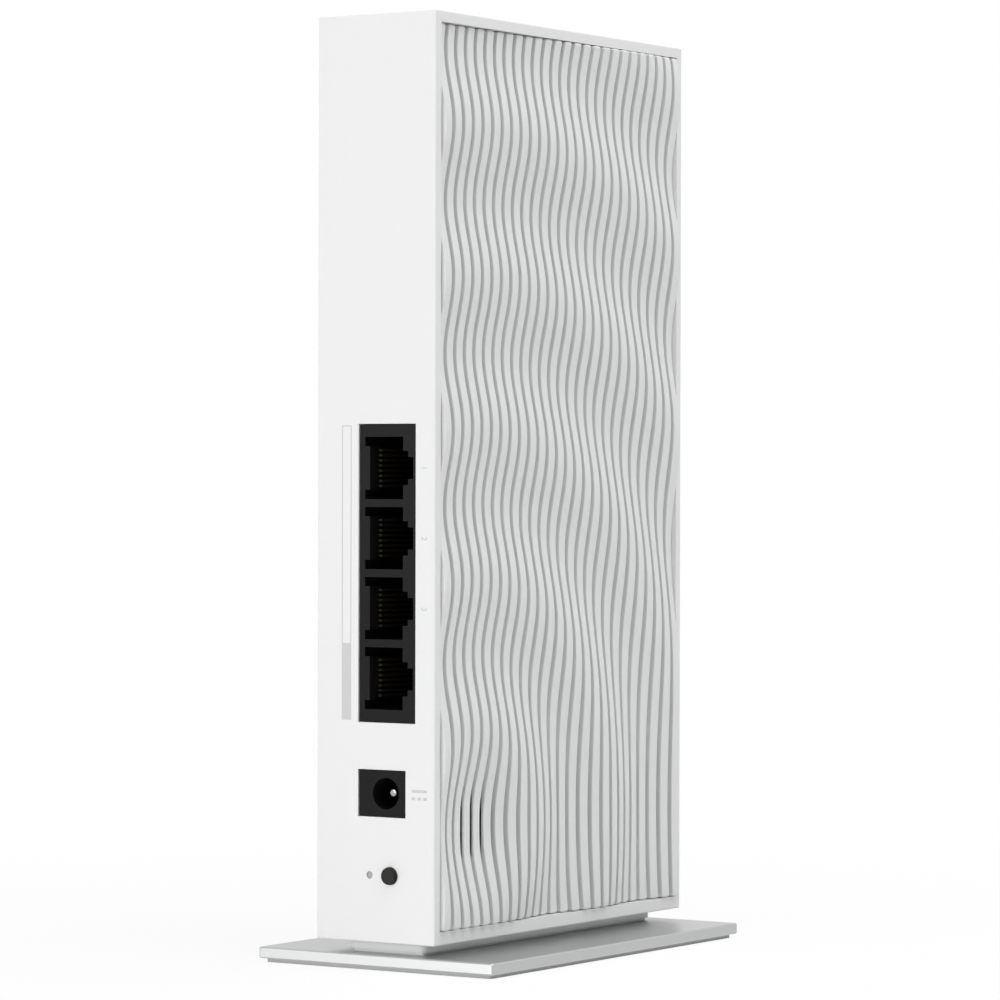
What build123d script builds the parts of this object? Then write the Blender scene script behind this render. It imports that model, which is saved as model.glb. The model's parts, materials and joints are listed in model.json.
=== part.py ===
"""Upright mesh wifi node on an aluminium stand, as separate parts in millimetres.

+Z is up, +Y is the narrow rear face with the sockets, -Y is the narrow front face,
and -X and +X are the two broad faces with the rippled ribs. The origin is the centre
of the footprint, on the surface that the node stands on.
"""

from build123d import *
import math
import os

# ---- stand ----
foot_mat_height = 0.8
foot_mat_inset = 1.0
foot_mat_corner = 1.0
plate_width = 56.6
plate_length = 95.6
plate_thickness = 2.3
plate_corner = 0.4
plate_chamfer = 0.25
neck_width = 18.6
neck_length = 86.6
neck_height = 2.5
neck_corner = 1.5
neck_groove_height = 0.55
neck_groove_depth = 0.7
stand_screw_radius = 1.45
stand_screw_length = 8.0
stand_screw_head_radius = 2.9
stand_screw_head_height = 1.6
stand_screw_x = 5.0
stand_screw_y = 34.0

# ---- case ----
case_width = 28.5
case_length = 94.6
case_height = 185.0
case_edge_radius = 0.35
wall_rear = 2.0
wall_front = 2.0
wall_top = 2.2
wall_bottom = 2.65
ledge_width = 1.5
ledge_thickness = 1.5
bottom_boss_radius = 3.0
bottom_boss_height = 4.4

# ---- rippled side panels ----
panel_floor_recess = 2.3
panel_floor_thickness = 1.7
panel_side_gap = 0.15
panel_top_gap = 0.25
panel_bottom_gap = 0.25
rib_pitch = 3.52
groove_width = 1.2
rib_root = 0.3
rib_spline_step = 3.8
dish_depth = 0.4
ripple_length = 30.25
ripple_depth = 1.02
ripple_phase = 2.22
ripple_y = 32.6
ripple_height = 22.55
eye_gain = 0.73
eye_reach = 7.4
vent_length = 16.0
vent_height = 23.6
hook_width = 6.0
hook_thickness = 1.2
hook_reach = 2.35
hook_barb = 0.6
hook_barb_length = 0.75
hook_low_rise = 35.35
hook_middle_rise = 20.85
hook_top_drop = 23.8

# ---- main board ----
board_thickness = 1.6
board_face_x = 4.05
board_rear_gap = 1.45
board_front_gap = 3.8
board_bottom_gap = 5.8
board_top_gap = 4.4
board_screw_inset = 4.0
board_screw_radius = 1.2
board_screw_length = 5.0
board_screw_head_radius = 2.4
board_screw_head_height = 1.8
board_screw_low_rise = 12.45
board_screw_rear_rise = 5.25
board_screw_top_drop = 6.0
tab_height = 8.0
tab_depth = 3.85
tab_lip = 2.0

# ---- network sockets ----
socket_recess = 0.3
socket_gap = 0.15
lan_count = 4
lan_pitch = 13.97
lan_block_width = 13.5
lan_block_length = 59.2
lan_block_depth = 21.3
lan_block_bottom = 43.95
port_height = 12.4
port_floor = 2.43
port_roof = 10.4
port_depth = 15.5
port_groove_floor = 1.24
port_groove_inner = 8.7
latch_outer_height = 6.8
latch_outer_roof = 11.6
latch_inner_height = 4.35
latch_inner_roof = 12.85
contact_count = 8
contact_pitch = 1.02
contact_width = 0.45
contact_slot_width = 0.65
contact_thickness = 0.3
contact_front = 3.2
contact_back = 16.6
contact_slot_end = 0.5
contact_arm_rise = 1.3
contact_heel_rise = 2.9
contact_tip_rise = 5.2
contact_tip_depth = 10.5

# ---- power socket ----
dc_block_width = 11.2
dc_block_height = 9.15
dc_block_depth = 14.4
dc_block_bottom = 25.15
dc_back_wall = 0.7
dc_front_depth = 4.0
dc_hole_radius = 3.15
dc_hole_depth = 11.0
dc_hole_rise = 6.42
dc_pin_radius = 1.0
dc_pin_recess = 2.4
dc_pin_tail = 1.6
dc_spring_width = 2.6
dc_spring_thickness = 0.4
dc_spring_length = 8.0

# ---- pairing button and reset pin ----
button_x = -3.6
button_height = 13.4
button_radius = 1.72
button_gap = 0.1
button_proud = 0.8
button_rounding = 0.2
button_flange_radius = 2.7
button_flange_thickness = 0.9
button_stem_radius = 1.2
button_stem_length = 1.8
plunger_radius = 1.7
plunger_length = 3.0
plunger_gap = 0.08
plunger_room = 0.8
pairing_switch_size = 6.0
pairing_switch_depth = 4.0
bracket_thickness = 0.4
bracket_depth = 3.0
reset_x = 1.34
reset_hole_radius = 0.75
reset_gap = 0.1
reset_nose_recess = 0.3
reset_collar_radius = 1.1
reset_collar_start = 0.6
reset_switch_height = 3.9
reset_switch_width = 5.0
reset_switch_depth = 4.0
reset_stem_showing = 2.0
reset_engage = 0.6
reset_room = 0.6

# ---- status light ----
light_height = 11.5
light_radius = 1.0
light_gap = 0.05
light_collar_radius = 2.0
light_collar_thickness = 1.0
light_block_width = 3.0
light_block_depth = 1.6
led_width = 2.8
led_height = 1.2
led_depth = 1.4

# ---- shield cans and chips ----
can_wall = 0.2
can_lid_lap = 0.15
can_height = 2.4
main_can_y = 0.0
main_can_height = 129.4
main_can_length = 32.0
main_can_width = 34.0
radio_can_inset = 20.5
radio_can_length = 26.0
radio_can_width = 26.0
radio_can_heights = [37.4, 72.4]
processor_size = 15.0
processor_thickness = 1.3
memory_length = 12.5
memory_width = 8.0
memory_thickness = 1.0
memory_gap = 2.0
processor_drop = 5.0
memory_rise = 12.0
radio_chip_size = 9.0
radio_chip_thickness = 0.9
amplifier_size = 4.0
amplifier_offset = 8.0
flash_inset = 14.85
flash_height = 134.4
flash_length = 8.0
flash_width = 6.0
flash_thickness = 1.5
switch_chip_y = 4.0
switch_chip_height = 73.5
switch_chip_size = 12.0
switch_chip_thickness = 0.9
transformer_gap = 2.6
transformer_depth = 7.2
transformer_width = 12.6
transformer_height = 5.6
coil_y = 8.0
coil_size = 7.0
coil_height = 4.0
coil_first_height = 16.0
coil_pitch = 10.5
coil_count = 3
capacitor_y = 20.5
capacitor_radius = 3.2
capacitor_height = 8.5
crystal_gap = 3.0
crystal_length = 3.2
crystal_width = 2.5
crystal_thickness = 0.8

# ---- cooling ----
pad_thickness = 1.0
pad_size = 26.0
sink_length = 46.0
sink_width = 46.0
sink_base = 2.0
fin_height = 6.5
fin_thickness = 1.2
fin_count = 9
post_radius = 2.5
post_inset = 3.0
clamp_screw_radius = 1.15
clamp_screw_gap = 0.05
clamp_screw_engage = 3.0
clamp_head_radius = 2.2
clamp_head_height = 1.2
spreader_thickness = 1.2
spreader_foot = 1.0
spreader_tab_gap = 1.1
spreader_bottom_inset = 37.0
spreader_top_inset = 9.0

# ---- aerials ----
aerial_width = 10.0
aerial_thickness = 0.8
aerial_middle_x = -2.0
aerial_length = 36.0
aerial_pin_radius = 1.0
aerial_pin_gap = 0.1
aerial_boss_radius = 2.0
aerial_boss_height = 1.2
aerial_pin_length = 1.4
aerial_pin_inset = 5.0
top_aerial_length = 32.0
lower_aerial_rise = 51.75
upper_aerial_drop = 58.4
top_aerial_inset = 20.3
feed_width = 1.6
feed_length = 1.5
feed_height = 1.4
lead_radius = 0.565
lead_bend_share = 0.45
plug_inset = 3.3
plug_radius = 1.35
plug_barrel_radius = 0.6
plug_barrel_length = 2.4
plug_lift = 0.35
plug_gap = 0.1
aerial_socket_size = 2.6
aerial_socket_base = 0.35
aerial_socket_radius = 0.95

# ---- screw running clearance ----
screw_gap = 0.05

# ---- places worked out from the sizes above ----
plate_bottom = foot_mat_height
plate_top = plate_bottom + plate_thickness
case_bottom = plate_top + neck_height
case_top = case_bottom + case_height
half_case = case_width / 2
rear_face = case_length / 2
front_face = -case_length / 2
rear_inner = rear_face - wall_rear
front_inner = front_face + wall_front
floor_inner = case_bottom + wall_bottom
roof_inner = case_top - wall_top
panel_outer_x = half_case - panel_floor_recess
panel_inner_x = panel_outer_x - panel_floor_thickness
ledge_inner_x = panel_inner_x - ledge_thickness
socket_face = rear_face - socket_recess
lan_bottom = case_bottom + lan_block_bottom
lan_top = lan_bottom + lan_block_length
lan_middle = (lan_bottom + lan_top) / 2
lan_side_x = board_face_x - lan_block_width
dc_bottom = case_bottom + dc_block_bottom
dc_middle = dc_bottom + dc_block_height / 2
dc_axis_x = board_face_x - dc_hole_rise
board_back_x = board_face_x + board_thickness
board_rear = rear_inner - board_rear_gap
board_front = front_inner + board_front_gap
board_bottom = floor_inner + board_bottom_gap
board_top = roof_inner - board_top_gap
board_screw_low = board_bottom + board_screw_low_rise
board_screw_top = board_top - board_screw_top_drop
board_screw_front = board_front + board_screw_inset
board_screw_rear = board_rear - board_screw_inset
tab_reach = board_screw_head_radius + tab_lip
hook_heights = [floor_inner + hook_low_rise, lan_top + hook_middle_rise, roof_inner - hook_top_drop]
radio_can_y = board_front + radio_can_inset
button_z = case_bottom + button_height
can_top_x = board_face_x - can_height
sink_base_x = can_top_x - pad_thickness
sink_top_x = sink_base_x - sink_base
main_can_z = case_bottom + main_can_height
spreader_inner_x = board_back_x + spreader_foot
spreader_outer_x = spreader_inner_x + spreader_thickness
light_z = case_bottom + light_height
led_x = board_face_x - led_height
front_aerial_heights = [floor_inner + lower_aerial_rise, roof_inner - upper_aerial_drop]
top_aerial_middles = [front_inner + top_aerial_inset, rear_inner - top_aerial_inset]
front_aerial_y = front_inner + aerial_boss_height
top_aerial_z = roof_inner - aerial_boss_height


def slab(low, high):
    """A block between two opposite corners."""
    size = [b - a for a, b in zip(low, high)]
    middle = [(a + b) / 2 for a, b in zip(low, high)]
    return Pos(*middle) * Box(*size)


def rod_x(start, end, y, z, radius):
    """A round bar along X."""
    return Pos((start + end) / 2, y, z) * Rot(0, 90, 0) * Cylinder(radius, abs(end - start))


def rod_y(start, end, x, z, radius):
    """A round bar along Y."""
    return Pos(x, (start + end) / 2, z) * Rot(90, 0, 0) * Cylinder(radius, abs(end - start))


def rod_z(start, end, x, y, radius):
    """A round bar along Z."""
    return Pos(x, y, (start + end) / 2) * Cylinder(radius, abs(end - start))


def joined(pieces):
    """Several touching shapes fused to one solid."""
    whole = pieces[0]
    for piece in pieces[1:]:
        whole = whole + piece
    return whole


def save(node, shape):
    """Write one named sub-part, which may be a group of alike loose solids."""
    whole = Compound(children=list(shape)) if isinstance(shape, list) else shape
    export_step(whole, f"parts/{node}.step")


def board_screw_places():
    """Each board screw's place, three along the board's front edge and three along its rear."""
    between_radio_cans = case_bottom + sum(radio_can_heights) / len(radio_can_heights)
    front = [board_screw_low, between_radio_cans, board_screw_top]
    rear = [board_screw_low, lan_top + board_screw_rear_rise, board_screw_top]
    return [(board_screw_front, z) for z in front] + [(board_screw_rear, z) for z in rear]


def clamp_places():
    """The four posts between the heat sink and the spreader, round the main can."""
    reach_y = sink_length / 2 - post_inset
    reach_z = sink_width / 2 - post_inset
    return [(main_can_y + a * reach_y, main_can_z + b * reach_z) for a in (-1, 1) for b in (-1, 1)]


def stand_screw_places():
    """The four screws that hold the stand to the case."""
    return [(a * stand_screw_x, b * stand_screw_y) for a in (-1, 1) for b in (-1, 1)]


# ---- stand ----

def foot_mat():
    """Rubber mat under the plate, which the node stands on."""
    width = plate_width - 2 * foot_mat_inset
    length = plate_length - 2 * foot_mat_inset
    return extrude(RectangleRounded(width, length, foot_mat_corner), foot_mat_height)


def base_plate():
    """Aluminium plate with countersunk holes from below."""
    outline = RectangleRounded(plate_width, plate_length, plate_corner)
    plate = Pos(0, 0, plate_bottom) * extrude(outline, plate_thickness)
    rims = plate.faces().sort_by(Axis.Z)[0].edges() + plate.faces().sort_by(Axis.Z)[-1].edges()
    plate = chamfer(rims, plate_chamfer)
    for x, y in stand_screw_places():
        plate -= rod_z(plate_bottom, plate_top, x, y, stand_screw_radius + screw_gap)
        plate -= countersink(x, y, screw_gap)
    return plate


def countersink(x, y, gap):
    """A countersunk screw head's cone, or the seat for it when it is given a gap."""
    head = Cone(
        stand_screw_head_radius + gap,
        stand_screw_radius + gap,
        stand_screw_head_height,
    )
    return Pos(x, y, plate_bottom + stand_screw_head_height / 2) * head


def neck():
    """Pedestal between plate and case, grooved all round along its foot."""
    outline = RectangleRounded(neck_width, neck_length, neck_corner)
    foot = RectangleRounded(
        neck_width - 2 * neck_groove_depth,
        neck_length - 2 * neck_groove_depth,
        neck_corner - neck_groove_depth,
    )
    upper = Pos(0, 0, plate_top + neck_groove_height) * extrude(outline, neck_height - neck_groove_height)
    body = upper + Pos(0, 0, plate_top) * extrude(foot, neck_groove_height)
    for x, y in stand_screw_places():
        body -= rod_z(plate_top, case_bottom, x, y, stand_screw_radius + screw_gap)
    return body


def stand_screws():
    """Countersunk screws from the plate up into the case's bosses."""
    screws = []
    for x, y in stand_screw_places():
        top = case_bottom + stand_screw_length - neck_height
        shank = rod_z(plate_bottom + stand_screw_head_height, top, x, y, stand_screw_radius)
        screws.append(countersink(x, y, 0) + shank)
    return screws


# ---- case ----

def opening_box(gap):
    """The space inside the ring of walls, made smaller all round by a gap."""
    return slab(
        (-half_case, front_inner + gap, floor_inner + gap),
        (half_case, rear_inner - gap, roof_inner - gap),
    )


def ledge(side):
    """A shelf round the inside of the ring that one panel sits on."""
    low, high = sorted((side * ledge_inner_x, side * panel_inner_x))
    outer = slab((low, front_inner, floor_inner), (high, rear_inner, roof_inner))
    inner = slab(
        (low, front_inner + ledge_width, floor_inner + ledge_width),
        (high, rear_inner - ledge_width, roof_inner - ledge_width),
    )
    return outer - inner


def board_tab(y, z):
    """A block on the ring's wall that a board screw bites into."""
    if y > 0:
        low_y, high_y = y - tab_reach, rear_inner
    else:
        low_y, high_y = front_inner, y + tab_reach
    tab = slab(
        (board_back_x, low_y, z - tab_height / 2),
        (board_back_x + tab_depth, high_y, z + tab_height / 2),
    )
    tip = board_face_x + board_screw_length
    return tab - rod_x(board_back_x, tip, y, z, board_screw_radius + screw_gap)


def aerial_mounts():
    """Stepped pins on the front wall and under the roof that the aerials push onto."""
    pins = []
    for z in front_aerial_pin_heights():
        tip = front_aerial_y + aerial_pin_length
        pins.append(rod_y(front_inner, front_aerial_y, aerial_middle_x, z, aerial_boss_radius))
        pins.append(rod_y(front_inner, tip, aerial_middle_x, z, aerial_pin_radius))
    for y in top_aerial_pin_places():
        tip = top_aerial_z - aerial_pin_length
        pins.append(rod_z(top_aerial_z, roof_inner, aerial_middle_x, y, aerial_boss_radius))
        pins.append(rod_z(tip, roof_inner, aerial_middle_x, y, aerial_pin_radius))
    return pins


def front_aerial_pin_heights():
    """Two pins for each aerial on the front wall."""
    reach = aerial_length / 2 - aerial_pin_inset
    return [z + side * reach for z in front_aerial_heights for side in (-1, 1)]


def top_aerial_pin_places():
    """Two pins for each aerial under the roof."""
    reach = top_aerial_length / 2 - aerial_pin_inset
    return [y + side * reach for y in top_aerial_middles for side in (-1, 1)]


def socket_windows():
    """Everything that is cut through the rear and front walls."""
    gap = socket_gap
    lan = slab(
        (lan_side_x - gap, rear_inner - ledge_width, lan_bottom - gap),
        (board_face_x + gap, rear_face, lan_top + gap),
    )
    power = slab(
        (board_face_x - dc_block_width - gap, rear_inner - ledge_width, dc_bottom - gap),
        (board_face_x + gap, rear_face, dc_bottom + dc_block_height + gap),
    )
    button = rod_y(rear_inner, rear_face, button_x, button_z, button_radius + button_gap)
    reset = rod_y(rear_inner, rear_face, reset_x, button_z, reset_hole_radius)
    light = rod_y(front_face, front_inner, 0, light_z, light_radius + light_gap)
    return [lan, power, button, reset, light]


def case_frame():
    """Ring of rear, top, front and bottom walls, with its ledges, bosses and windows."""
    block = slab((-half_case, front_face, case_bottom), (half_case, rear_face, case_top))
    ring = fillet(block.edges(), case_edge_radius) - opening_box(0)
    ring = joined([ring, ledge(-1), ledge(1)] + aerial_mounts())
    for x, y in stand_screw_places():
        ring += rod_z(floor_inner, floor_inner + bottom_boss_height, x, y, bottom_boss_radius)
    for y, z in board_screw_places():
        ring += board_tab(y, z)
    for x, y in stand_screw_places():
        top = case_bottom + stand_screw_length - neck_height
        ring -= rod_z(case_bottom, top, x, y, stand_screw_radius + screw_gap)
    for window in socket_windows():
        ring -= window
    return ring


# ---- rippled side panels ----

def rib_recess(y, z):
    """Depth of a rib's crest below the rim: round ripples on a shallow dish, so ridges stand proud of it."""
    along = math.pi * y / (rear_inner - front_inner)
    up = math.pi * (z - (floor_inner + roof_inner) / 2) / (roof_inner - floor_inner)
    reach = math.hypot(y - ripple_y, z - case_bottom - ripple_height)
    depth = ripple_depth * (1 + eye_gain * math.exp(-reach / eye_reach))
    wave = depth * math.cos(2 * math.pi * reach / ripple_length + ripple_phase)
    return dish_depth * math.cos(along) * math.cos(up) - wave


def groove_places():
    """The middle of each groove, from the rear edge to the front one."""
    pairs = int((rear_inner - panel_side_gap - groove_width) / rib_pitch)
    return [i * rib_pitch for i in range(pairs, -pairs - 1, -1)]


def rib_spans():
    """Both edges of each rib, between the grooves."""
    edges = [rear_inner - panel_side_gap]
    for y in groove_places():
        edges += [y + groove_width / 2, y - groove_width / 2]
    edges.append(front_inner + panel_side_gap)
    return list(zip(edges[0::2], edges[1::2]))


def rib(rear, front):
    """One upright rib, whose crest rises and falls with the ripple."""
    low = floor_inner + panel_bottom_gap
    high = roof_inner - panel_top_gap
    steps = math.ceil((high - low) / rib_spline_step)
    middle = (rear + front) / 2
    heights = [low + (high - low) * i / steps for i in range(steps + 1)]
    crest = [(-half_case + rib_recess(middle, z), front, z) for z in heights]
    root = -panel_outer_x + rib_root
    back = Polyline(crest[-1], (root, front, high), (root, front, low), crest[0])
    return extrude(make_face(Curve() + [Spline(*crest), back]), rear - front, dir=(0, 1, 0))


def vents():
    """Slits through the panel's floor, along the bottom of each groove."""
    low = case_bottom + vent_height - vent_length / 2
    return [
        slab(
            (-panel_outer_x, y - groove_width / 2, low),
            (-panel_inner_x, y + groove_width / 2, low + vent_length),
        )
        for y in groove_places()
    ]


def hook(y_face, inward, z):
    """A snap hook beside the ledge: a tongue with a barb that grips behind it."""
    root = -panel_inner_x
    tip = root + hook_reach
    barb = tip - hook_barb_length
    outer = y_face + inward * (ledge_width + panel_side_gap)
    inner = outer + inward * hook_thickness
    grip = outer - inward * hook_barb
    outline = Polyline(
        (root, outer), (barb, outer), (barb, grip), (tip, outer), (tip, inner), (root, inner), close=True
    )
    return Pos(0, 0, z - hook_width / 2) * extrude(make_face(outline), hook_width, dir=(0, 0, 1))


def wave_panel():
    """The panel on the -X side: floor with slits, ribs on it and hooks behind it."""
    floor = slab(
        (-panel_outer_x, front_inner + panel_side_gap, floor_inner + panel_bottom_gap),
        (-panel_inner_x, rear_inner - panel_side_gap, roof_inner - panel_top_gap),
    )
    panel = floor - vents()
    panel += [rib(rear, front) for rear, front in rib_spans()]
    for z in hook_heights:
        panel += hook(rear_inner, -1, z)
        panel += hook(front_inner, 1, z)
    return panel


# ---- main board ----

def main_board():
    """Circuit board on edge, with its screw holes and the clamp screws' holes."""
    board = slab((board_face_x, board_front, board_bottom), (board_back_x, board_rear, board_top))
    for y, z in board_screw_places():
        board -= rod_x(board_face_x, board_back_x, y, z, board_screw_radius + screw_gap)
    for y, z in clamp_places():
        board -= rod_x(board_face_x, board_back_x, y, z, clamp_screw_radius + clamp_screw_gap)
    return board


def board_screws():
    """Pan-head screws through the board into the tabs."""
    screws = []
    for y, z in board_screw_places():
        head = rod_x(board_face_x - board_screw_head_height, board_face_x, y, z, board_screw_head_radius)
        shank = rod_x(board_face_x, board_face_x + board_screw_length, y, z, board_screw_radius)
        screws.append(head + shank)
    return screws


# ---- network sockets ----

def port_heights():
    """The middle of each network port."""
    return [lan_middle + (i - (lan_count - 1) / 2) * lan_pitch for i in range(lan_count)]


def contact_heights(port):
    """The middle of each spring contact in one port."""
    return [port + (i - (contact_count - 1) / 2) * contact_pitch for i in range(contact_count)]


def port_cut(depth_from, depth_to, near, far, height, middle):
    """A slot in the block, given by its depth, its distance from the board and its height."""
    return slab(
        (board_face_x - far, socket_face - depth_to, middle - height / 2),
        (board_face_x - near, socket_face - depth_from, middle + height / 2),
    )


def lan_jack_housing():
    """Block of ports with stepped latch notches, and a comb of slots for the contacts."""
    block = slab(
        (lan_side_x, socket_face - lan_block_depth, lan_bottom),
        (board_face_x, socket_face, lan_top),
    )
    groove = (port_height - port_groove_inner) / 2
    for z in port_heights():
        block -= port_cut(0, port_depth, port_floor, port_roof, port_height, z)
        block -= port_cut(0, port_depth, port_roof, latch_outer_roof, latch_outer_height, z)
        block -= port_cut(0, port_depth, latch_outer_roof, latch_inner_roof, latch_inner_height, z)
        for side in (-1, 1):
            middle = z + side * (port_height - groove) / 2
            block -= port_cut(0, port_depth, port_groove_floor, port_floor, groove, middle)
        for place in contact_heights(z):
            block -= port_cut(contact_front - contact_slot_end, contact_back + contact_slot_end,
                              0, port_floor, contact_slot_width, place)
    return block


def lan_contact(z):
    """One gold spring: a tail on the board, an arm forwards and a blade sloping back up."""
    half = contact_thickness / 2
    back = socket_face - contact_back
    front = socket_face - contact_front
    arm = board_face_x - contact_arm_rise
    line = Polyline(
        (board_face_x, back),
        (arm, back),
        (arm, front),
        (board_face_x - contact_heel_rise, front - half),
        (board_face_x - contact_tip_rise, socket_face - contact_tip_depth),
    )
    wire = extrude(trace(line, contact_thickness), contact_width, dir=(0, 0, 1))
    beyond_board = slab((board_face_x, back - 1, 0), (board_face_x + 1, front, contact_width))
    return Pos(0, 0, z - contact_width / 2) * (wire - beyond_board)


def lan_jack_contacts():
    """All the spring contacts of the network ports."""
    return [lan_contact(place) for z in port_heights() for place in contact_heights(z)]


def lan_transformers():
    """One isolating transformer block behind each port."""
    rear = socket_face - lan_block_depth - transformer_gap
    blocks = []
    for z in port_heights():
        blocks.append(slab(
            (board_face_x - transformer_height, rear - transformer_depth, z - transformer_width / 2),
            (board_face_x, rear, z + transformer_width / 2),
        ))
    return blocks


# ---- power socket ----

def dc_jack_housing():
    """Square-faced barrel socket, lower behind its face, with a side slot for the spring."""
    side_x = board_face_x - dc_block_width
    back = socket_face - dc_block_depth
    front = slab(
        (side_x, socket_face - dc_front_depth, dc_bottom),
        (board_face_x, socket_face, dc_bottom + dc_block_height),
    )
    rear = slab(
        (dc_axis_x - dc_hole_radius - dc_back_wall, back, dc_bottom),
        (board_face_x, socket_face - dc_front_depth, dc_bottom + dc_block_height),
    )
    body = front + rear
    body -= rod_y(socket_face - dc_hole_depth, socket_face, dc_axis_x, dc_middle, dc_hole_radius)
    body -= rod_y(back, socket_face - dc_hole_depth, dc_axis_x, dc_middle, dc_pin_radius + screw_gap)
    return body - dc_spring_block(screw_gap)


def dc_jack_pin():
    """Centre pin with a round nose and a tail behind the housing."""
    back = socket_face - dc_block_depth - dc_pin_tail
    tip = socket_face - dc_pin_recess
    nose = dc_pin_radius / 2
    pin = rod_y(back, tip, dc_axis_x, dc_middle, dc_pin_radius)
    return fillet(pin.edges().sort_by(Axis.Y)[-1], nose)


def dc_spring_block(gap):
    """The flat spring beside the hole, or the slot for it when it is given a gap."""
    near = dc_axis_x + dc_hole_radius
    far = near + dc_spring_thickness
    low = socket_face - dc_block_depth
    half = dc_spring_width / 2 + gap
    return slab(
        (near - gap, low, dc_middle - half),
        (far + gap, low + dc_spring_length + gap, dc_middle + half),
    )


def dc_jack_spring():
    """Flat sleeve contact with a leg down to the board."""
    outer = dc_axis_x + dc_hole_radius
    low = socket_face - dc_block_depth
    leg = slab(
        (outer, low - dc_spring_thickness, dc_middle - dc_spring_width / 2),
        (board_face_x, low, dc_middle + dc_spring_width / 2),
    )
    return dc_spring_block(0) + leg


# ---- pairing button and reset pin ----

button_inner = rear_inner - button_flange_thickness
stem_end = button_inner - button_stem_length
pairing_switch_front = stem_end - plunger_length + pairing_switch_depth / 2
pairing_switch_back = pairing_switch_front - pairing_switch_depth
reset_collar_y = rear_inner - reset_collar_start
reset_switch_front = reset_collar_y - reset_stem_showing
reset_switch_back = reset_switch_front - reset_switch_depth


def pairing_button():
    """Round cap through the rear wall, with a flange behind it and a stem to the switch."""
    cap = rod_y(button_inner, rear_face + button_proud, button_x, button_z, button_radius)
    cap = fillet(cap.edges().sort_by(Axis.Y)[-1], min(button_rounding, button_radius / 2))
    flange = rod_y(button_inner, rear_inner, button_x, button_z, button_flange_radius)
    stem = rod_y(stem_end, button_inner, button_x, button_z, button_stem_radius)
    return joined([cap, flange, stem])


def pairing_switch_plunger():
    """Push switch's own round plunger, which the button's stem bears on."""
    return rod_y(stem_end - plunger_length, stem_end, button_x, button_z, plunger_radius)


def pairing_switch_body():
    """Square push switch with a blind hole for its plunger."""
    half = pairing_switch_size / 2
    body = slab(
        (button_x - half, pairing_switch_back, button_z - half),
        (button_x + half, pairing_switch_front, button_z + half),
    )
    bottom = stem_end - plunger_length - plunger_room
    return body - rod_y(bottom, pairing_switch_front, button_x, button_z, plunger_radius + plunger_gap)


def pairing_switch_bracket():
    """Steel bracket that holds the switch up off the board, over the reset switch."""
    half = pairing_switch_size / 2
    top = button_x - half
    middle = (pairing_switch_front + pairing_switch_back) / 2
    low_y, high_y = middle - bracket_depth / 2, middle + bracket_depth / 2
    legs = []
    for side in (-1, 1):
        near, far = button_z + side * half, button_z + side * (half + bracket_thickness)
        low, high = sorted((near, far))
        legs.append(slab((top, low_y, low), (board_face_x, high_y, high)))
    reach = half + bracket_thickness
    bridge = slab((top - bracket_thickness, low_y, button_z - reach), (top, high_y, button_z + reach))
    return joined([bridge] + legs)


def reset_pin():
    """Plunger of the reset switch: nose in the pinhole, collar behind the wall, stem."""
    tip = rear_face - reset_nose_recess
    nose = rod_y(reset_collar_y, tip, reset_x, button_z, reset_hole_radius - reset_gap)
    collar = rod_y(reset_switch_front - reset_engage, reset_collar_y, reset_x, button_z, reset_collar_radius)
    return nose + collar


def reset_switch_body():
    """Low side-push switch on the board with a blind hole for the reset pin."""
    body = slab(
        (board_face_x - reset_switch_height, reset_switch_back, button_z - reset_switch_width / 2),
        (board_face_x, reset_switch_front, button_z + reset_switch_width / 2),
    )
    bottom = reset_switch_front - reset_engage - reset_room
    return body - rod_y(bottom, reset_switch_front, reset_x, button_z, reset_collar_radius + plunger_gap)


# ---- status light ----

led_front = board_front + led_depth
light_block_front = board_front - light_block_depth


def light_pipe():
    """Clear stem through the front wall, a collar behind it and a foot over the lamp."""
    stem = rod_y(front_face, light_block_front, 0, light_z, light_radius)
    collar = rod_y(front_inner, front_inner + light_collar_thickness, 0, light_z, light_collar_radius)
    foot = slab(
        (-light_block_width / 2, light_block_front, light_z - light_block_width / 2),
        (board_face_x, board_front, light_z + light_block_width / 2),
    )
    return joined([stem, collar, foot])


def status_led():
    """Side-shining lamp at the board's front edge."""
    return slab(
        (led_x, board_front, light_z - led_width / 2),
        (board_face_x, led_front, light_z + led_width / 2),
    )


# ---- shield cans and chips ----

def can_fence(y, z, length, width):
    """Open steel fence soldered round a group of chips."""
    outer = slab(
        (can_top_x + can_wall, y - length / 2, z - width / 2),
        (board_face_x, y + length / 2, z + width / 2),
    )
    inner = slab(
        (can_top_x, y - length / 2 + can_wall, z - width / 2 + can_wall),
        (board_face_x, y + length / 2 - can_wall, z + width / 2 - can_wall),
    )
    return outer - inner


def can_lid(y, z, length, width):
    """Lid that snaps over the fence, with a short skirt round it."""
    reach = can_lid_lap + can_wall
    outer = slab(
        (can_top_x, y - length / 2 - reach, z - width / 2 - reach),
        (board_face_x - can_height / 2, y + length / 2 + reach, z + width / 2 + reach),
    )
    inner = slab(
        (can_top_x + can_wall, y - length / 2 - can_lid_lap, z - width / 2 - can_lid_lap),
        (board_face_x, y + length / 2 + can_lid_lap, z + width / 2 + can_lid_lap),
    )
    return outer - inner


def chip(y, z, length, width, thickness):
    """A flat chip package on the board."""
    return slab(
        (board_face_x - thickness, y - length / 2, z - width / 2),
        (board_face_x, y + length / 2, z + width / 2),
    )


def processor():
    """Main processor, below the middle of the main can."""
    z = main_can_z - processor_drop
    return chip(main_can_y, z, processor_size, processor_size, processor_thickness)


def memory_chips():
    """Two memory chips beside the processor."""
    z = main_can_z + memory_rise
    reach = (memory_length + memory_gap) / 2
    places = [main_can_y - reach, main_can_y + reach]
    return [chip(y, z, memory_length, memory_width, memory_thickness) for y in places]


def flash_chip():
    """Storage chip beside the heat sink."""
    z = case_bottom + flash_height
    return chip(board_rear - flash_inset, z, flash_length, flash_width, flash_thickness)


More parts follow.
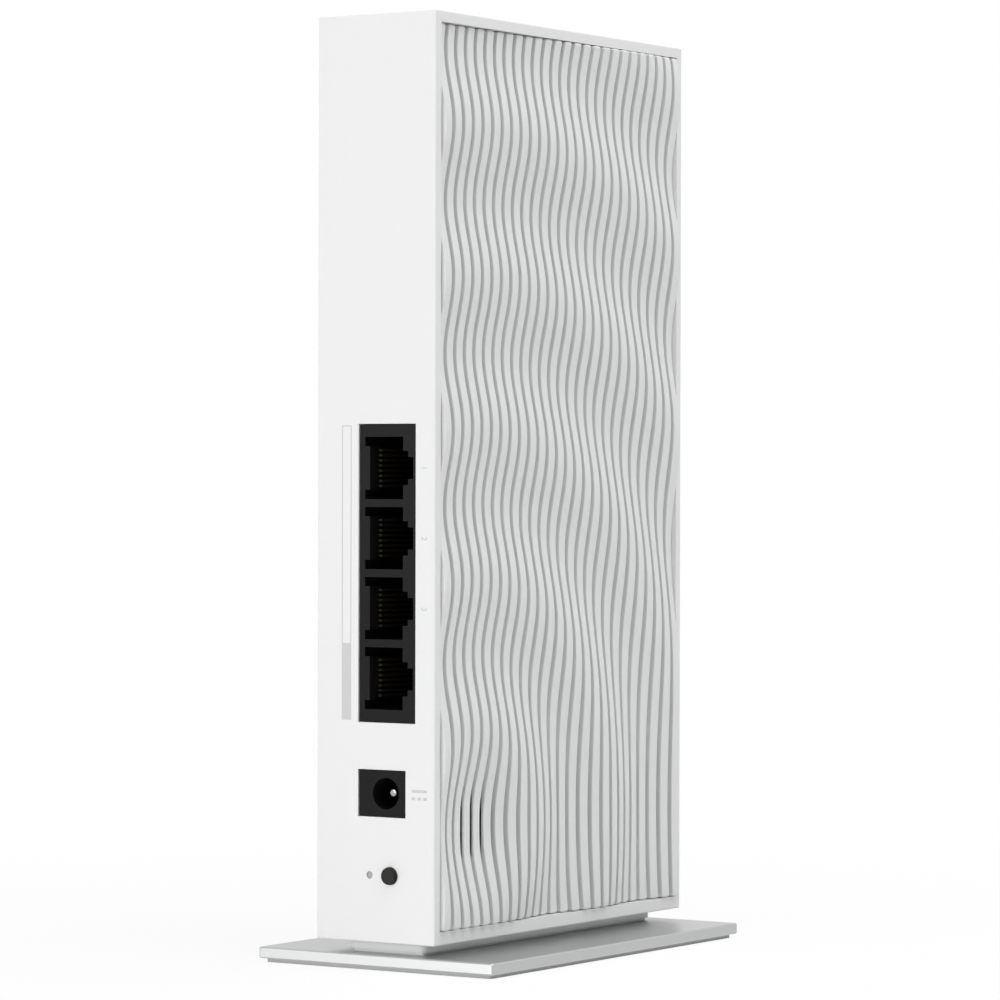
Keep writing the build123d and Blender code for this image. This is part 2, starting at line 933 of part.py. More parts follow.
def switch_chip():
    """Network switch chip between the transformers and the radio cans."""
    z = case_bottom + switch_chip_height
    return chip(switch_chip_y, z, switch_chip_size, switch_chip_size, switch_chip_thickness)


def radio_chips():
    """One radio chip in the middle of each radio can."""
    heights = [case_bottom + rise for rise in radio_can_heights]
    return [chip(radio_can_y, z, radio_chip_size, radio_chip_size, radio_chip_thickness) for z in heights]


def radio_amplifiers():
    """Two front-end amplifiers beside each radio chip."""
    chips = []
    for rise in radio_can_heights:
        for side in (-1, 1):
            z = case_bottom + rise + side * amplifier_offset
            chips.append(chip(radio_can_y, z, amplifier_size, amplifier_size, radio_chip_thickness))
    return chips


def power_stage_heights():
    """The height of each stage of the power supply: a coil with its capacitor."""
    return [case_bottom + coil_first_height + i * coil_pitch for i in range(coil_count)]


def power_coils():
    """Three choke coils of the power supply."""
    return [chip(coil_y, z, coil_size, coil_size, coil_height) for z in power_stage_heights()]


def power_capacitors():
    """Three electrolytic capacitors beside the coils."""
    top = board_face_x - capacitor_height
    return [rod_x(top, board_face_x, capacitor_y, z, capacitor_radius) for z in power_stage_heights()]


def crystals():
    """A timing crystal above each radio can."""
    reach = radio_can_width / 2 + crystal_gap
    heights = [case_bottom + rise + reach for rise in radio_can_heights]
    return [chip(radio_can_y, z, crystal_length, crystal_width, crystal_thickness) for z in heights]


# ---- cooling ----

def main_thermal_pad():
    """Soft pad between the main can's lid and the heat sink."""
    half = pad_size / 2
    return slab(
        (sink_base_x, main_can_y - half, main_can_z - half),
        (can_top_x, main_can_y + half, main_can_z + half),
    )


def rear_thermal_pad():
    """Soft pad between the board's back and the spreader."""
    half = pad_size / 2
    return slab(
        (board_back_x, main_can_y - half, main_can_z - half),
        (spreader_inner_x, main_can_y + half, main_can_z + half),
    )


def heat_sink():
    """Finned aluminium block on four threaded posts that stand on the board."""
    half_y, half_z = sink_length / 2, sink_width / 2
    body = slab(
        (sink_top_x, main_can_y - half_y, main_can_z - half_z),
        (sink_base_x, main_can_y + half_y, main_can_z + half_z),
    )
    pitch = (sink_length - fin_thickness) / (fin_count - 1)
    for i in range(fin_count):
        y = main_can_y - half_y + i * pitch
        body += slab(
            (sink_top_x - fin_height, y, main_can_z - half_z),
            (sink_top_x, y + fin_thickness, main_can_z + half_z),
        )
    for y, z in clamp_places():
        body += rod_x(sink_base_x, board_face_x, y, z, post_radius)
    for y, z in clamp_places():
        tip = board_face_x - clamp_screw_engage
        body -= rod_x(tip, board_face_x, y, z, clamp_screw_radius + clamp_screw_gap)
    return body


def heat_spreader():
    """Plate behind the board that stands on four short feet."""
    gap = tab_reach + spreader_tab_gap
    plate = slab(
        (spreader_inner_x, board_screw_front + gap, board_bottom + spreader_bottom_inset),
        (spreader_outer_x, board_screw_rear - gap, board_top - spreader_top_inset),
    )
    for y, z in clamp_places():
        plate += rod_x(board_back_x, spreader_inner_x, y, z, post_radius)
    for y, z in clamp_places():
        plate -= rod_x(board_back_x, spreader_outer_x, y, z, clamp_screw_radius + clamp_screw_gap)
    return plate


def clamp_screws():
    """Screws through spreader and board into the heat sink's posts."""
    screws = []
    for y, z in clamp_places():
        head = rod_x(spreader_outer_x, spreader_outer_x + clamp_head_height, y, z, clamp_head_radius)
        tip = board_face_x - clamp_screw_engage
        screws.append(head + rod_x(tip, spreader_outer_x, y, z, clamp_screw_radius))
    return screws


# ---- aerials ----

feed_axis_y = front_aerial_y + aerial_thickness + feed_height / 2
feed_axis_z = top_aerial_z - aerial_thickness - feed_height / 2
plug_axis_x = board_face_x - aerial_socket_base - plug_lift - plug_barrel_radius
plug_y = board_front + plug_inset


def front_aerial(index, feed_z, side):
    """Flat aerial on the front wall, with a feed block whose open end faces up or down."""
    middle = front_aerial_heights[index]
    half = aerial_width / 2
    board = slab(
        (aerial_middle_x - half, front_aerial_y, middle - aerial_length / 2),
        (aerial_middle_x + half, front_aerial_y + aerial_thickness, middle + aerial_length / 2),
    )
    for z in front_aerial_pin_heights()[2 * index:2 * index + 2]:
        board -= rod_y(front_aerial_y, front_aerial_y + aerial_thickness, aerial_middle_x, z,
                       aerial_pin_radius + aerial_pin_gap)
    low, high = sorted((feed_z, feed_z - side * feed_length))
    feed_x = front_leads[index][0][0]
    feed = slab(
        (feed_x - feed_width / 2, front_aerial_y + aerial_thickness, low),
        (feed_x + feed_width / 2, front_aerial_y + aerial_thickness + feed_height, high),
    )
    return board + feed


def top_aerial(index, feed_y):
    """Flat aerial under the roof, with a feed block whose open end faces forwards."""
    middle = top_aerial_middles[index]
    half = aerial_width / 2
    board = slab(
        (aerial_middle_x - half, middle - top_aerial_length / 2, top_aerial_z - aerial_thickness),
        (aerial_middle_x + half, middle + top_aerial_length / 2, top_aerial_z),
    )
    for y in top_aerial_pin_places()[2 * index:2 * index + 2]:
        board -= rod_z(top_aerial_z - aerial_thickness, top_aerial_z, aerial_middle_x, y,
                       aerial_pin_radius + aerial_pin_gap)
    feed_x = top_leads[index][0][0]
    feed = slab(
        (feed_x - feed_width / 2, feed_y, top_aerial_z - aerial_thickness - feed_height),
        (feed_x + feed_width / 2, feed_y + feed_length, top_aerial_z - aerial_thickness),
    )
    return board + feed


# Each lead's route from its aerial's feed block to the end of its plug's barrel.
front_leads = [
    [
        (-3.0, feed_axis_y, floor_inner + 50.25),
        (-3.0, feed_axis_y, floor_inner + 45.25),
        (-0.6, front_inner + 4.4, floor_inner + 38.75),
        (plug_axis_x, plug_y, floor_inner + 31.75),
        (plug_axis_x, plug_y, floor_inner + 27.25),
    ],
    [
        (-4.0, feed_axis_y, roof_inner - 72.4),
        (-4.0, feed_axis_y, roof_inner - 67.4),
        (-0.7, front_inner + 4.4, roof_inner - 60.9),
        (plug_axis_x, plug_y, roof_inner - 53.4),
        (plug_axis_x, plug_y, roof_inner - 49.1),
    ],
]
top_leads = [
    [
        (-3.0, front_inner + 24.3, feed_axis_z),
        (-3.0, front_inner + 11.8, feed_axis_z),
        (-3.2, front_inner + 4.3, roof_inner - 10.9),
        (-1.8, front_inner + 4.4, roof_inner - 20.4),
        (plug_axis_x, plug_y, roof_inner - 30.4),
        (plug_axis_x, plug_y, roof_inner - 36.4),
    ],
    [
        (-6.0, rear_inner - 34.3, feed_axis_z),
        (-6.0, front_inner + 32.3, feed_axis_z),
        (-6.3, front_inner + 11.8, roof_inner - 3.5),
        (-6.3, front_inner + 4.5, roof_inner - 12.4),
        (-6.4, front_inner + 4.3, roof_inner - 29.4),
        (-5.6, front_inner + 4.9, roof_inner - 45.4),
        (-2.4, front_inner + 5.8, roof_inner - 57.4),
        (plug_axis_x, plug_y, roof_inner - 66.4),
        (plug_axis_x, plug_y, roof_inner - 71.4),
    ],
]


def bend_radii(points):
    """Each corner's arc, as large as its two runs allow."""
    corners = [Vector(*point) for point in points]
    radii = []
    for before, corner, after in zip(corners, corners[1:], corners[2:]):
        run = min((corner - before).length, (after - corner).length)
        turn = math.radians((corner - before).get_angle(after - corner))
        radii.append(lead_bend_share * run / math.tan(turn / 2))
    return radii


def aerial_lead(points):
    """Thin coaxial lead of straight runs and tangent arcs."""
    radii = bend_radii(points)
    path = FilletPolyline(*points, radius=radii)
    start = Vector(*points[0])
    section = Plane(origin=start, z_dir=Vector(*points[1]) - start) * Circle(lead_radius)
    lead = sweep(section, path=path)
    print("lead radii", [round(r, 1) for r in radii], "length", round(path.length, 1),
          "volume share", round(lead.volume / (math.pi * lead_radius ** 2 * path.length), 4))
    return lead


def plug_middles():
    """Each plug's middle and the side that its barrel points to."""
    places = []
    for points in front_leads + top_leads:
        side = 1 if points[-2][2] > points[-1][2] else -1
        places.append((points[-1][2] - side * plug_barrel_length, side))
    return places


def aerial_sockets():
    """Tiny sockets on the board, one for each lead."""
    half = aerial_socket_size / 2
    sockets = []
    for z, _ in plug_middles():
        base = slab(
            (board_face_x - aerial_socket_base, plug_y - half, z - half),
            (board_face_x, plug_y + half, z + half),
        )
        top = board_face_x - aerial_socket_base - plug_lift
        sockets.append(base + rod_x(top, board_face_x, plug_y, z, aerial_socket_radius))
    return sockets


def aerial_plugs():
    """Round plugs over the sockets, each with a crimped barrel for its lead."""
    plugs = []
    for z, side in plug_middles():
        low = board_face_x - aerial_socket_base
        cap = rod_x(low - plug_lift - 2 * plug_barrel_radius, low, plug_y, z, plug_radius)
        end = z + side * plug_barrel_length
        barrel = rod_z(min(z, end), max(z, end), plug_axis_x, plug_y, plug_barrel_radius)
        bore = rod_x(low - plug_lift - plug_gap, low, plug_y, z, aerial_socket_radius + plug_gap)
        plugs.append(cap + barrel - bore)
    return plugs


# ---- write every sub-part ----

os.makedirs("parts", exist_ok=True)

left_panel = wave_panel()
save("foot_mat", foot_mat())
save("base_plate", base_plate())
save("neck", neck())
save("stand_screws", stand_screws())
save("case_frame", case_frame())
save("wave_panel_left", left_panel)
save("wave_panel_right", mirror(left_panel, about=Plane.YZ))
save("main_board", main_board())
save("board_screws", board_screws())
save("lan_jack_housing", lan_jack_housing())
save("lan_jack_contacts", lan_jack_contacts())
save("lan_transformers", lan_transformers())
save("dc_jack_housing", dc_jack_housing())
save("dc_jack_pin", dc_jack_pin())
save("dc_jack_spring", dc_jack_spring())
save("pairing_button", pairing_button())
save("pairing_switch_plunger", pairing_switch_plunger())
save("pairing_switch_body", pairing_switch_body())
save("pairing_switch_bracket", pairing_switch_bracket())
save("reset_pin", reset_pin())
save("reset_switch_body", reset_switch_body())
save("light_pipe", light_pipe())
save("status_led", status_led())
save("main_can_fence", can_fence(main_can_y, main_can_z, main_can_length, main_can_width))
save("main_can_lid", can_lid(main_can_y, main_can_z, main_can_length, main_can_width))
for number, rise in enumerate(radio_can_heights, 1):
    place = (radio_can_y, case_bottom + rise, radio_can_length, radio_can_width)
    save(f"radio_can_fence_{number}", can_fence(*place))
    save(f"radio_can_lid_{number}", can_lid(*place))
save("processor", processor())
save("memory_chips", memory_chips())
save("flash_chip", flash_chip())
save("radio_chips", radio_chips())
save("radio_amplifiers", radio_amplifiers())
save("switch_chip", switch_chip())
save("power_coils", power_coils())
save("power_capacitors", power_capacitors())
save("crystals", crystals())
save("main_thermal_pad", main_thermal_pad())
save("rear_thermal_pad", rear_thermal_pad())
save("heat_sink", heat_sink())
save("heat_spreader", heat_spreader())
save("clamp_screws", clamp_screws())
save("front_aerial_lower", front_aerial(0, front_leads[0][0][2], -1))
save("front_aerial_upper", front_aerial(1, front_leads[1][0][2], 1))
save("top_aerial_front", top_aerial(0, top_leads[0][0][1]))
save("top_aerial_rear", top_aerial(1, top_leads[1][0][1]))
for number, points in enumerate(front_leads + top_leads, 1):
    save(f"aerial_lead_{number}", aerial_lead(points))
save("aerial_sockets", aerial_sockets())
save("aerial_plugs", aerial_plugs())
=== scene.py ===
"""Finishes of an upright mesh wifi node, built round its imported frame.

The file is laid out as an add-on and run as a script: it registers the operators below,
calls them in order and leaves the finished object on its stage.
"""

import json
import math

import bmesh
import bpy
from mathutils import Matrix, Vector


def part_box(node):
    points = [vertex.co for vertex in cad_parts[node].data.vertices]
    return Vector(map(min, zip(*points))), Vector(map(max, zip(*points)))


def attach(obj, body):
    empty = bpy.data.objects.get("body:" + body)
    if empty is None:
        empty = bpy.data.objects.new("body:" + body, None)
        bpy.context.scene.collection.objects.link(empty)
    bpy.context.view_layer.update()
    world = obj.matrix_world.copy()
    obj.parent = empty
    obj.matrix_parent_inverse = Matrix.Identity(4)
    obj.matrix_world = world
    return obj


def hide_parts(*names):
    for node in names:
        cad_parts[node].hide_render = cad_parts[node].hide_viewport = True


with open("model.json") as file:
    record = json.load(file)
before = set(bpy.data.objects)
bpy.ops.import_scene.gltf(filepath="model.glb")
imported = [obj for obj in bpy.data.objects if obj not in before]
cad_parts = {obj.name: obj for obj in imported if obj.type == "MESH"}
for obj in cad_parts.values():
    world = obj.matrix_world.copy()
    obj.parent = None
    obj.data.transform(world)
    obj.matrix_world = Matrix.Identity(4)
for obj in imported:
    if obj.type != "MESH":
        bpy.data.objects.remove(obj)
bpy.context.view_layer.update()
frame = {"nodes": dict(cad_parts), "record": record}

bl_info = {
    "name": "Mesh wifi node finishes",
    "version": (1, 0, 0),
    "blender": (4, 5, 0),
    "location": "View3D > Sidebar > Wifi node",
    "description": "Rippled side panels, rear marks, finishes and stage for an upright wifi node",
    "category": "Object",
}

MM = 0.001
HOUSING = "housing"

CASE_LOW, CASE_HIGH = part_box("case_frame")
PANEL_LOW, PANEL_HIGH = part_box("wave_panel_left")
LAN_LOW, LAN_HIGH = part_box("lan_jack_housing")
DC_LOW, DC_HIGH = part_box("dc_jack_housing")


# ---- settings that a user would change ----

def length(name, description, millimetres):
    """A size property, given in millimetres and kept in metres."""
    return bpy.props.FloatProperty(
        name=name,
        description=description,
        default=millimetres * MM,
        min=0.0,
        precision=5,
        unit="LENGTH",
        subtype="DISTANCE",
    )


def number(name, description, value):
    """A plain number property."""
    return bpy.props.FloatProperty(name=name, description=description, default=value)


def angle(name, description, radians):
    """An angle property."""
    return bpy.props.FloatProperty(
        name=name, description=description, default=radians, subtype="ANGLE"
    )


def power(name, description, watts):
    """A lamp's power property."""
    return bpy.props.FloatProperty(
        name=name, description=description, default=watts, unit="POWER"
    )


def colour(name, description, value):
    """A colour property."""
    return bpy.props.FloatVectorProperty(
        name=name,
        description=description,
        default=value,
        size=3,
        min=0.0,
        max=1.0,
        subtype="COLOR",
    )


class PanelSizes(bpy.types.PropertyGroup):
    """Sizes of the two rippled side panels."""

    rib_pitch: length("Rib pitch", "Distance from one rib to the next", 3.52)
    groove_width: length("Groove width", "Clear width between two ribs", 1.2)
    dish_depth: length(
        "Dish depth", "How deep the crests' mean face sinks at the panel's middle", 0.4
    )
    ripple_depth: length("Ripple depth", "How far a crest swings either way", 1.02)
    ripple_length: length(
        "Ripple length", "Distance from one ring of the ripple to the next", 30.25
    )
    ripple_phase: number("Ripple phase", "Angle at which the ripple starts at its eye", 2.22)
    eye_y: length("Eye distance", "How far the ripple's eye is behind the middle", 32.6)
    eye_height: length(
        "Eye height", "Height of the ripple's eye above the case's underside", 22.55
    )
    eye_width: length("Eye width", "Width of the ripple's flat eye", 7.0)
    eye_gain: number("Eye gain", "How much deeper the ripple is at its eye", 0.73)
    eye_reach: length("Eye reach", "How fast the deeper ripple fades from its eye", 7.4)
    floor_recess: length("Floor recess", "Depth of the grooves' floor in the case", 3.2)
    floor_thickness: length("Floor thickness", "Thickness of the panel behind its grooves", 0.8)
    crest_rounding: length("Crest rounding", "Radius along both edges of a rib's crest", 0.22)
    end_rounding: length("End rounding", "Radius of a rib's corners at both ends", 0.4)
    end_drop: length("End drop", "How much lower the crest is at both ends", 0.25)
    vent_length: length("Vent length", "Length of a slit in a groove's floor", 16.0)
    vent_height: length(
        "Vent height", "Height of the slits' middle above the case's underside", 23.6
    )
    vent_y: length(
        "Vent place", "Distance of the most open slits behind the middle of the case", 31.1
    )
    vent_reach: length(
        "Vent reach", "Distance from that place within which the ribs by the slits are thin", 4.5
    )
    vent_back: length("Vent back", "Depth of the thin ribs' backs in the case", 2.0)


class MarkSizes(bpy.types.PropertyGroup):
    """Sizes of the plain marks printed on the rear face."""

    ink_thickness: length("Ink thickness", "How proud the ink stands", 0.02)
    line_width: length("Line width", "Width of the outlined bar's line", 0.22)
    bar_near: length("Bar near edge", "Distance of the bars' near edge from the middle", 5.9)
    bar_far: length("Bar far edge", "Distance of the bars' far edge from the middle", 8.2)
    digit_height: length("Digit height", "Height of the port numbers", 1.3)
    digit_x: length("Digit distance", "Distance of the port numbers from the middle", 11.6)
    sign_near: length(
        "Sign near end", "Distance of the current sign's near end from the middle", 8.8
    )
    sign_far: length(
        "Sign far end", "Distance of the current sign's far end from the middle", 12.4
    )


class FinishColours(bpy.types.PropertyGroup):
    """Colours of the finishes that show most."""

    shell: colour("Shell", "White moulded case", (0.83, 0.835, 0.83))
    ribs: colour("Ribs", "Moulded rippled panels", (0.80, 0.81, 0.805))
    pedestal: colour("Pedestal", "Moulded neck under the case", (0.81, 0.82, 0.82))
    plate: colour("Plate", "Aluminium foot plate", (0.50, 0.505, 0.505))
    sockets: colour("Sockets", "Black plastic of the sockets", (0.009, 0.009, 0.009))
    button: colour("Button", "Black plastic of the pairing button", (0.011, 0.011, 0.010))
    ink: colour("Ink", "Pale grey ink of the rear marks", (0.60, 0.60, 0.60))


class StageSettings(bpy.types.PropertyGroup):
    """Camera, lamps and floor."""

    lens: bpy.props.FloatProperty(
        name="Lens",
        description="Focal length in millimetres",
        default=158.018,
        subtype="DISTANCE_CAMERA",
    )
    camera_place: bpy.props.FloatVectorProperty(
        name="Camera place",
        description="Where the camera stands",
        default=(-0.49839, 0.76536, 0.09885),
        size=3,
        precision=5,
        unit="LENGTH",
        subtype="TRANSLATION",
    )
    azimuth: angle("Azimuth", "Side that the camera looks from", 3.72005)
    elevation: angle("Elevation", "How far the camera looks down", 0.0058065)
    roll: angle("Roll", "Turn about the line of sight", 0.0021682)
    key_power: power("Key lamp", "Power of the low lamp before the rear face", 9.3)
    top_power: power("Top lamp", "Power of the lamp overhead", 6.0)
    sky_light: number("Sky light", "Strength of the room's light from straight above", 0.68)
    floor: colour("Floor", "Pale floor", (0.92, 0.92, 0.92))


class NodeSettings(bpy.types.PropertyGroup):
    """All settings of the wifi node."""

    panel: bpy.props.PointerProperty(type=PanelSizes, name="Panel", description="Side panels")
    marks: bpy.props.PointerProperty(type=MarkSizes, name="Marks", description="Rear marks")
    colours: bpy.props.PointerProperty(type=FinishColours, name="Colours", description="Finishes")
    stage: bpy.props.PointerProperty(
        type=StageSettings, name="Stage", description="Camera and light"
    )


# ---- arithmetic in node trees ----

class Field:
    """A number in a node tree. Arithmetic on it adds the math nodes that work it out."""

    def __init__(self, tree, socket):
        self.tree = tree
        self.socket = socket

    def worked(self, operation, *others):
        """The result of one math node on this number and others."""
        node = self.tree.nodes.new("ShaderNodeMath")
        node.operation = operation
        for socket, value in zip(node.inputs, (self, *others)):
            if isinstance(value, Field):
                self.tree.links.new(value.socket, socket)
            else:
                socket.default_value = value
        return Field(self.tree, node.outputs[0])

    def __add__(self, other):
        return self.worked("ADD", other)

    def __radd__(self, other):
        return self.worked("ADD", other)

    def __sub__(self, other):
        return self.worked("SUBTRACT", other)

    def __rsub__(self, other):
        return self.worked("MULTIPLY", -1.0) + other

    def __mul__(self, other):
        return self.worked("MULTIPLY", other)

    def __truediv__(self, other):
        return self.worked("DIVIDE", other)

    def at_least(self, low):
        """This number, or low if that is more."""
        return self.worked("MAXIMUM", low)

    def at_most(self, high):
        """This number, or high if that is less."""
        return self.worked("MINIMUM", high)

    def within(self, low, high):
        """This number kept between two others."""
        return self.at_least(low).at_most(high)

    def cosine(self):
        """Cosine of this angle."""
        return self.worked("COSINE")

    def sine(self):
        """Sine of this angle."""
        return self.worked("SINE")


def named_inputs(tree, sizes, counts):
    """Gives a tree its named inputs and returns them as fields."""
    for name in sizes:
        tree.interface.new_socket(name=name, in_out="INPUT", socket_type="NodeSocketFloat")
    for name in counts:
        tree.interface.new_socket(name=name, in_out="INPUT", socket_type="NodeSocketInt")
    tree.interface.new_socket(name="material", in_out="INPUT", socket_type="NodeSocketMaterial")
    start = tree.nodes.new("NodeGroupInput")
    return {name: Field(tree, start.outputs[name]) for name in (*sizes, *counts, "material")}


def position_parts(tree):
    """The three coordinates of each vertex."""
    place = tree.nodes.new("GeometryNodeInputPosition")
    parts = tree.nodes.new("ShaderNodeSeparateXYZ")
    tree.links.new(place.outputs[0], parts.inputs[0])
    return [Field(tree, socket) for socket in parts.outputs]


def moved(tree, geometry, x, y, z):
    """A geometry whose vertices go to worked-out places."""
    place = tree.nodes.new("ShaderNodeCombineXYZ")
    for socket, value in zip(place.inputs, (x, y, z)):
        tree.links.new(value.socket, socket)
    node = tree.nodes.new("GeometryNodeSetPosition")
    tree.links.new(geometry, node.inputs["Geometry"])
    tree.links.new(place.outputs[0], node.inputs["Position"])
    return node.outputs[0]


def repeated(tree, points, shape):
    """A shape copied to each point and made one mesh."""
    copies = tree.nodes.new("GeometryNodeInstanceOnPoints")
    tree.links.new(points, copies.inputs["Points"])
    tree.links.new(shape, copies.inputs["Instance"])
    whole = tree.nodes.new("GeometryNodeRealizeInstances")
    tree.links.new(copies.outputs[0], whole.inputs[0])
    return whole.outputs[0]


def counting_grid(tree, columns, rows):
    """A grid of vertices one unit apart, which carry their own column and row numbers."""
    grid = tree.nodes.new("GeometryNodeMeshGrid")
    for name, count in (("X", columns), ("Y", rows)):
        tree.links.new(count.socket, grid.inputs[f"Vertices {name}"])
        tree.links.new((count - 1).socket, grid.inputs[f"Size {name}"])
    return grid.outputs["Mesh"]


# ---- rippled side panels ----

# The points round a rib are its back edge at the rear, the steps of its two crest corners, its
# back edge at the front, and the first point again. The first and the last row of a rib are the
# middles of its ends, and the next few rows round the ends off.
CORNER_STEPS = 3
END_STEPS = 3
ROUND_A_RIB = 2 * CORNER_STEPS + 5
ROWS_A_RIB = 184
STRIPS_A_GROOVE = 2
CUBE_HALF = 0.4
# Largest share of a rib's width that either rounding may take.
END_ROUNDING_LIMIT = 0.3
CREST_ROUNDING_LIMIT = 0.35
RIB_OVERLAP = 0.1 * MM
BACK_STEP = 0.02 * MM
MERGE_DISTANCE = 0.001 * MM
SHARP_ANGLE = math.radians(40)
PANEL_SETTINGS = (
    "rib_pitch", "groove_width", "dish_depth", "ripple_depth", "ripple_length", "ripple_phase",
    "eye_y", "eye_height", "eye_width", "eye_gain", "eye_reach", "floor_recess", "floor_thickness",
    "crest_rounding", "end_rounding", "end_drop", "vent_length", "vent_height",
    "vent_y", "vent_reach", "vent_back",
)
PANEL_PLACES = (
    "side", "outer_x", "case_bottom", "first_groove",
    "panel_rear", "panel_front", "panel_bottom", "panel_top",
)
PANEL_COUNTS = ("ribs", "grooves", "strips_a_groove", "points_round_a_rib", "rows_a_rib")


def crest_recess(given, y, z):
    """How deep the crests lie at a place: round ripples about an eye, on a shallow dish."""
    dish = given["dish_depth"]
    for place, low, high in ((y, "panel_front", "panel_rear"), (z, "panel_bottom", "panel_top")):
        share = (place - given[low]) / (given[high] - given[low])
        dish = dish * (share * math.pi).sine()
    across = y - given["eye_y"]
    up = z - given["case_bottom"] - given["eye_height"]
    reach = (across * across + up * up).worked("SQRT").at_least(given["eye_width"] / 2)
    fade = (reach / given["eye_reach"] * -1.0).worked("EXPONENT")
    depth = given["ripple_depth"] * (given["eye_gain"] * fade + 1.0)
    swing = (reach / given["ripple_length"] * math.tau + given["ripple_phase"]).cosine()
    return dish - depth * swing


def groove_middle(given, number):
    """Where a groove lies, counted from the rear."""
    return given["first_groove"] - given["rib_pitch"] * number


def rib_edges(given, rib):
    """Rear and front edge of a rib; the outermost ribs reach the panel's own edges."""
    half = given["groove_width"] / 2
    is_first = 1.0 - rib.at_most(1.0)
    rear = groove_middle(given, rib - 1.0) - half
    rear = rear + is_first * (given["panel_rear"] - rear)
    front = (groove_middle(given, rib) + half).at_least(given["panel_front"])
    return rear, front


def ribs(tree, given):
    """Upright closed bars with rounded crests and ends that follow the ripple."""
    line = tree.nodes.new("GeometryNodeMeshLine")
    line.mode = "OFFSET"
    line.inputs["Offset"].default_value = (0, 0, 1)
    tree.links.new(given["ribs"].socket, line.inputs["Count"])
    skin = counting_grid(tree, given["points_round_a_rib"], given["rows_a_rib"])
    skins = repeated(tree, line.outputs[0], skin)
    x, y, rib = position_parts(tree)
    column = x + (given["points_round_a_rib"] - 1) / 2
    row = y + (given["rows_a_rib"] - 1) / 2
    rear, front = rib_edges(given, rib)
    width = rear - front

    last_row = given["rows_a_rib"] - 1
    from_end = row.at_most(last_row - row)
    towards_top = (row - last_row / 2).worked("SIGN")
    turn = (from_end - 1.0).within(0.0, END_STEPS) * (math.pi / 2 / END_STEPS)
    radius = given["end_rounding"].at_most(width * END_ROUNDING_LIMIT)
    narrowing = 1.0 - turn.sine()
    inset = radius * narrowing
    share = ((row - 1 - END_STEPS) / (last_row - 2 * (1 + END_STEPS))).within(0.0, 1.0)
    straight = given["panel_top"] - given["panel_bottom"] - radius * 2
    z = given["panel_bottom"] + radius + share * straight + towards_top * radius * turn.cosine()

    inset_width = width - inset * 2
    corner = given["crest_rounding"].at_most(inset_width * CREST_ROUNDING_LIMIT)
    quarter = math.pi / 2 / CORNER_STEPS
    rising = (column - 1.0).within(0.0, CORNER_STEPS) * quarter
    falling = (column - (CORNER_STEPS + 2)).within(0.0, CORNER_STEPS) * quarter
    over_crest = (column - (CORNER_STEPS + 1)).within(0.0, 1.0)
    way_back = (column - (2 * CORNER_STEPS + 3)).within(0.0, 1.0)
    across = corner * (1.0 - rising.cosine()) + (inset_width - corner * 2) * over_crest
    across = across + corner * falling.sine() - inset_width * way_back
    y = rear - inset - across

    from_slit = (z - given["case_bottom"] - given["vent_height"]).worked("ABSOLUTE")
    beside_slit = from_slit.worked("LESS_THAN", given["vent_length"] / 2)
    near_eye = (rear - given["vent_y"]).worked("ABSOLUTE").worked("LESS_THAN", given["vent_reach"])
    back = given["floor_recess"] + given["floor_thickness"]
    inner = given["outer_x"] - back + beside_slit * near_eye * (back - given["vent_back"])
    crest = given["outer_x"] - crest_recess(given, y, z) - given["end_drop"] * narrowing
    flank = column.at_most(1.0) - (column - (2 * CORNER_STEPS + 2)).within(0.0, 1.0)
    bulge = corner * (rising.sine() + falling.cosine() - 1.0)
    x = inner + (crest - corner - inner) * flank + bulge

    is_ring = from_end.at_most(1.0)
    middle_y = (rear + front) / 2
    middle_x = inner + given["floor_thickness"] / 2
    y = middle_y + (y - middle_y) * is_ring
    x = middle_x + (x - middle_x) * is_ring
    bars = moved(tree, skins, x * given["side"], y, z)
    merged = tree.nodes.new("GeometryNodeMergeByDistance")
    merged.inputs["Distance"].default_value = MERGE_DISTANCE
    tree.links.new(bars, merged.inputs["Geometry"])
    return merged.outputs[0]


def groove_floors(tree, given):
    """Strips behind the grooves: one below and one above each slit."""
    points = counting_grid(tree, given["grooves"], given["strips_a_groove"])
    cube = tree.nodes.new("GeometryNodeMeshCube")
    cube.inputs["Size"].default_value = [2 * CUBE_HALF] * 3
    cubes = repeated(tree, points, cube.outputs["Mesh"])
    x, y, depth = position_parts(tree)
    numbers = []
    for place, count in ((x, given["grooves"]), (y, given["strips_a_groove"])):
        counted = place + (count - 1) / 2
        index = counted.worked("ROUND")
        numbers += [index, (counted - index) / CUBE_HALF]
    groove, side_of_groove, strip, end_of_strip = numbers

    y = groove_middle(given, groove) + side_of_groove * (given["groove_width"] / 2 + RIB_OVERLAP)
    foot = given["panel_bottom"] + RIB_OVERLAP
    head = given["panel_top"] - RIB_OVERLAP
    slit_foot = given["case_bottom"] + given["vent_height"] - given["vent_length"] / 2
    slit_head = slit_foot + given["vent_length"]
    low = foot + (slit_head - foot) * strip
    high = slit_foot + (head - slit_foot) * strip
    z = low + (high - low) * (end_of_strip + 1) / 2
    middle = given["outer_x"] - given["floor_recess"] - given["floor_thickness"] / 2
    x = middle + (depth / CUBE_HALF) * (given["floor_thickness"] / 2 - BACK_STEP)
    return moved(tree, cubes, x * given["side"], y, z)


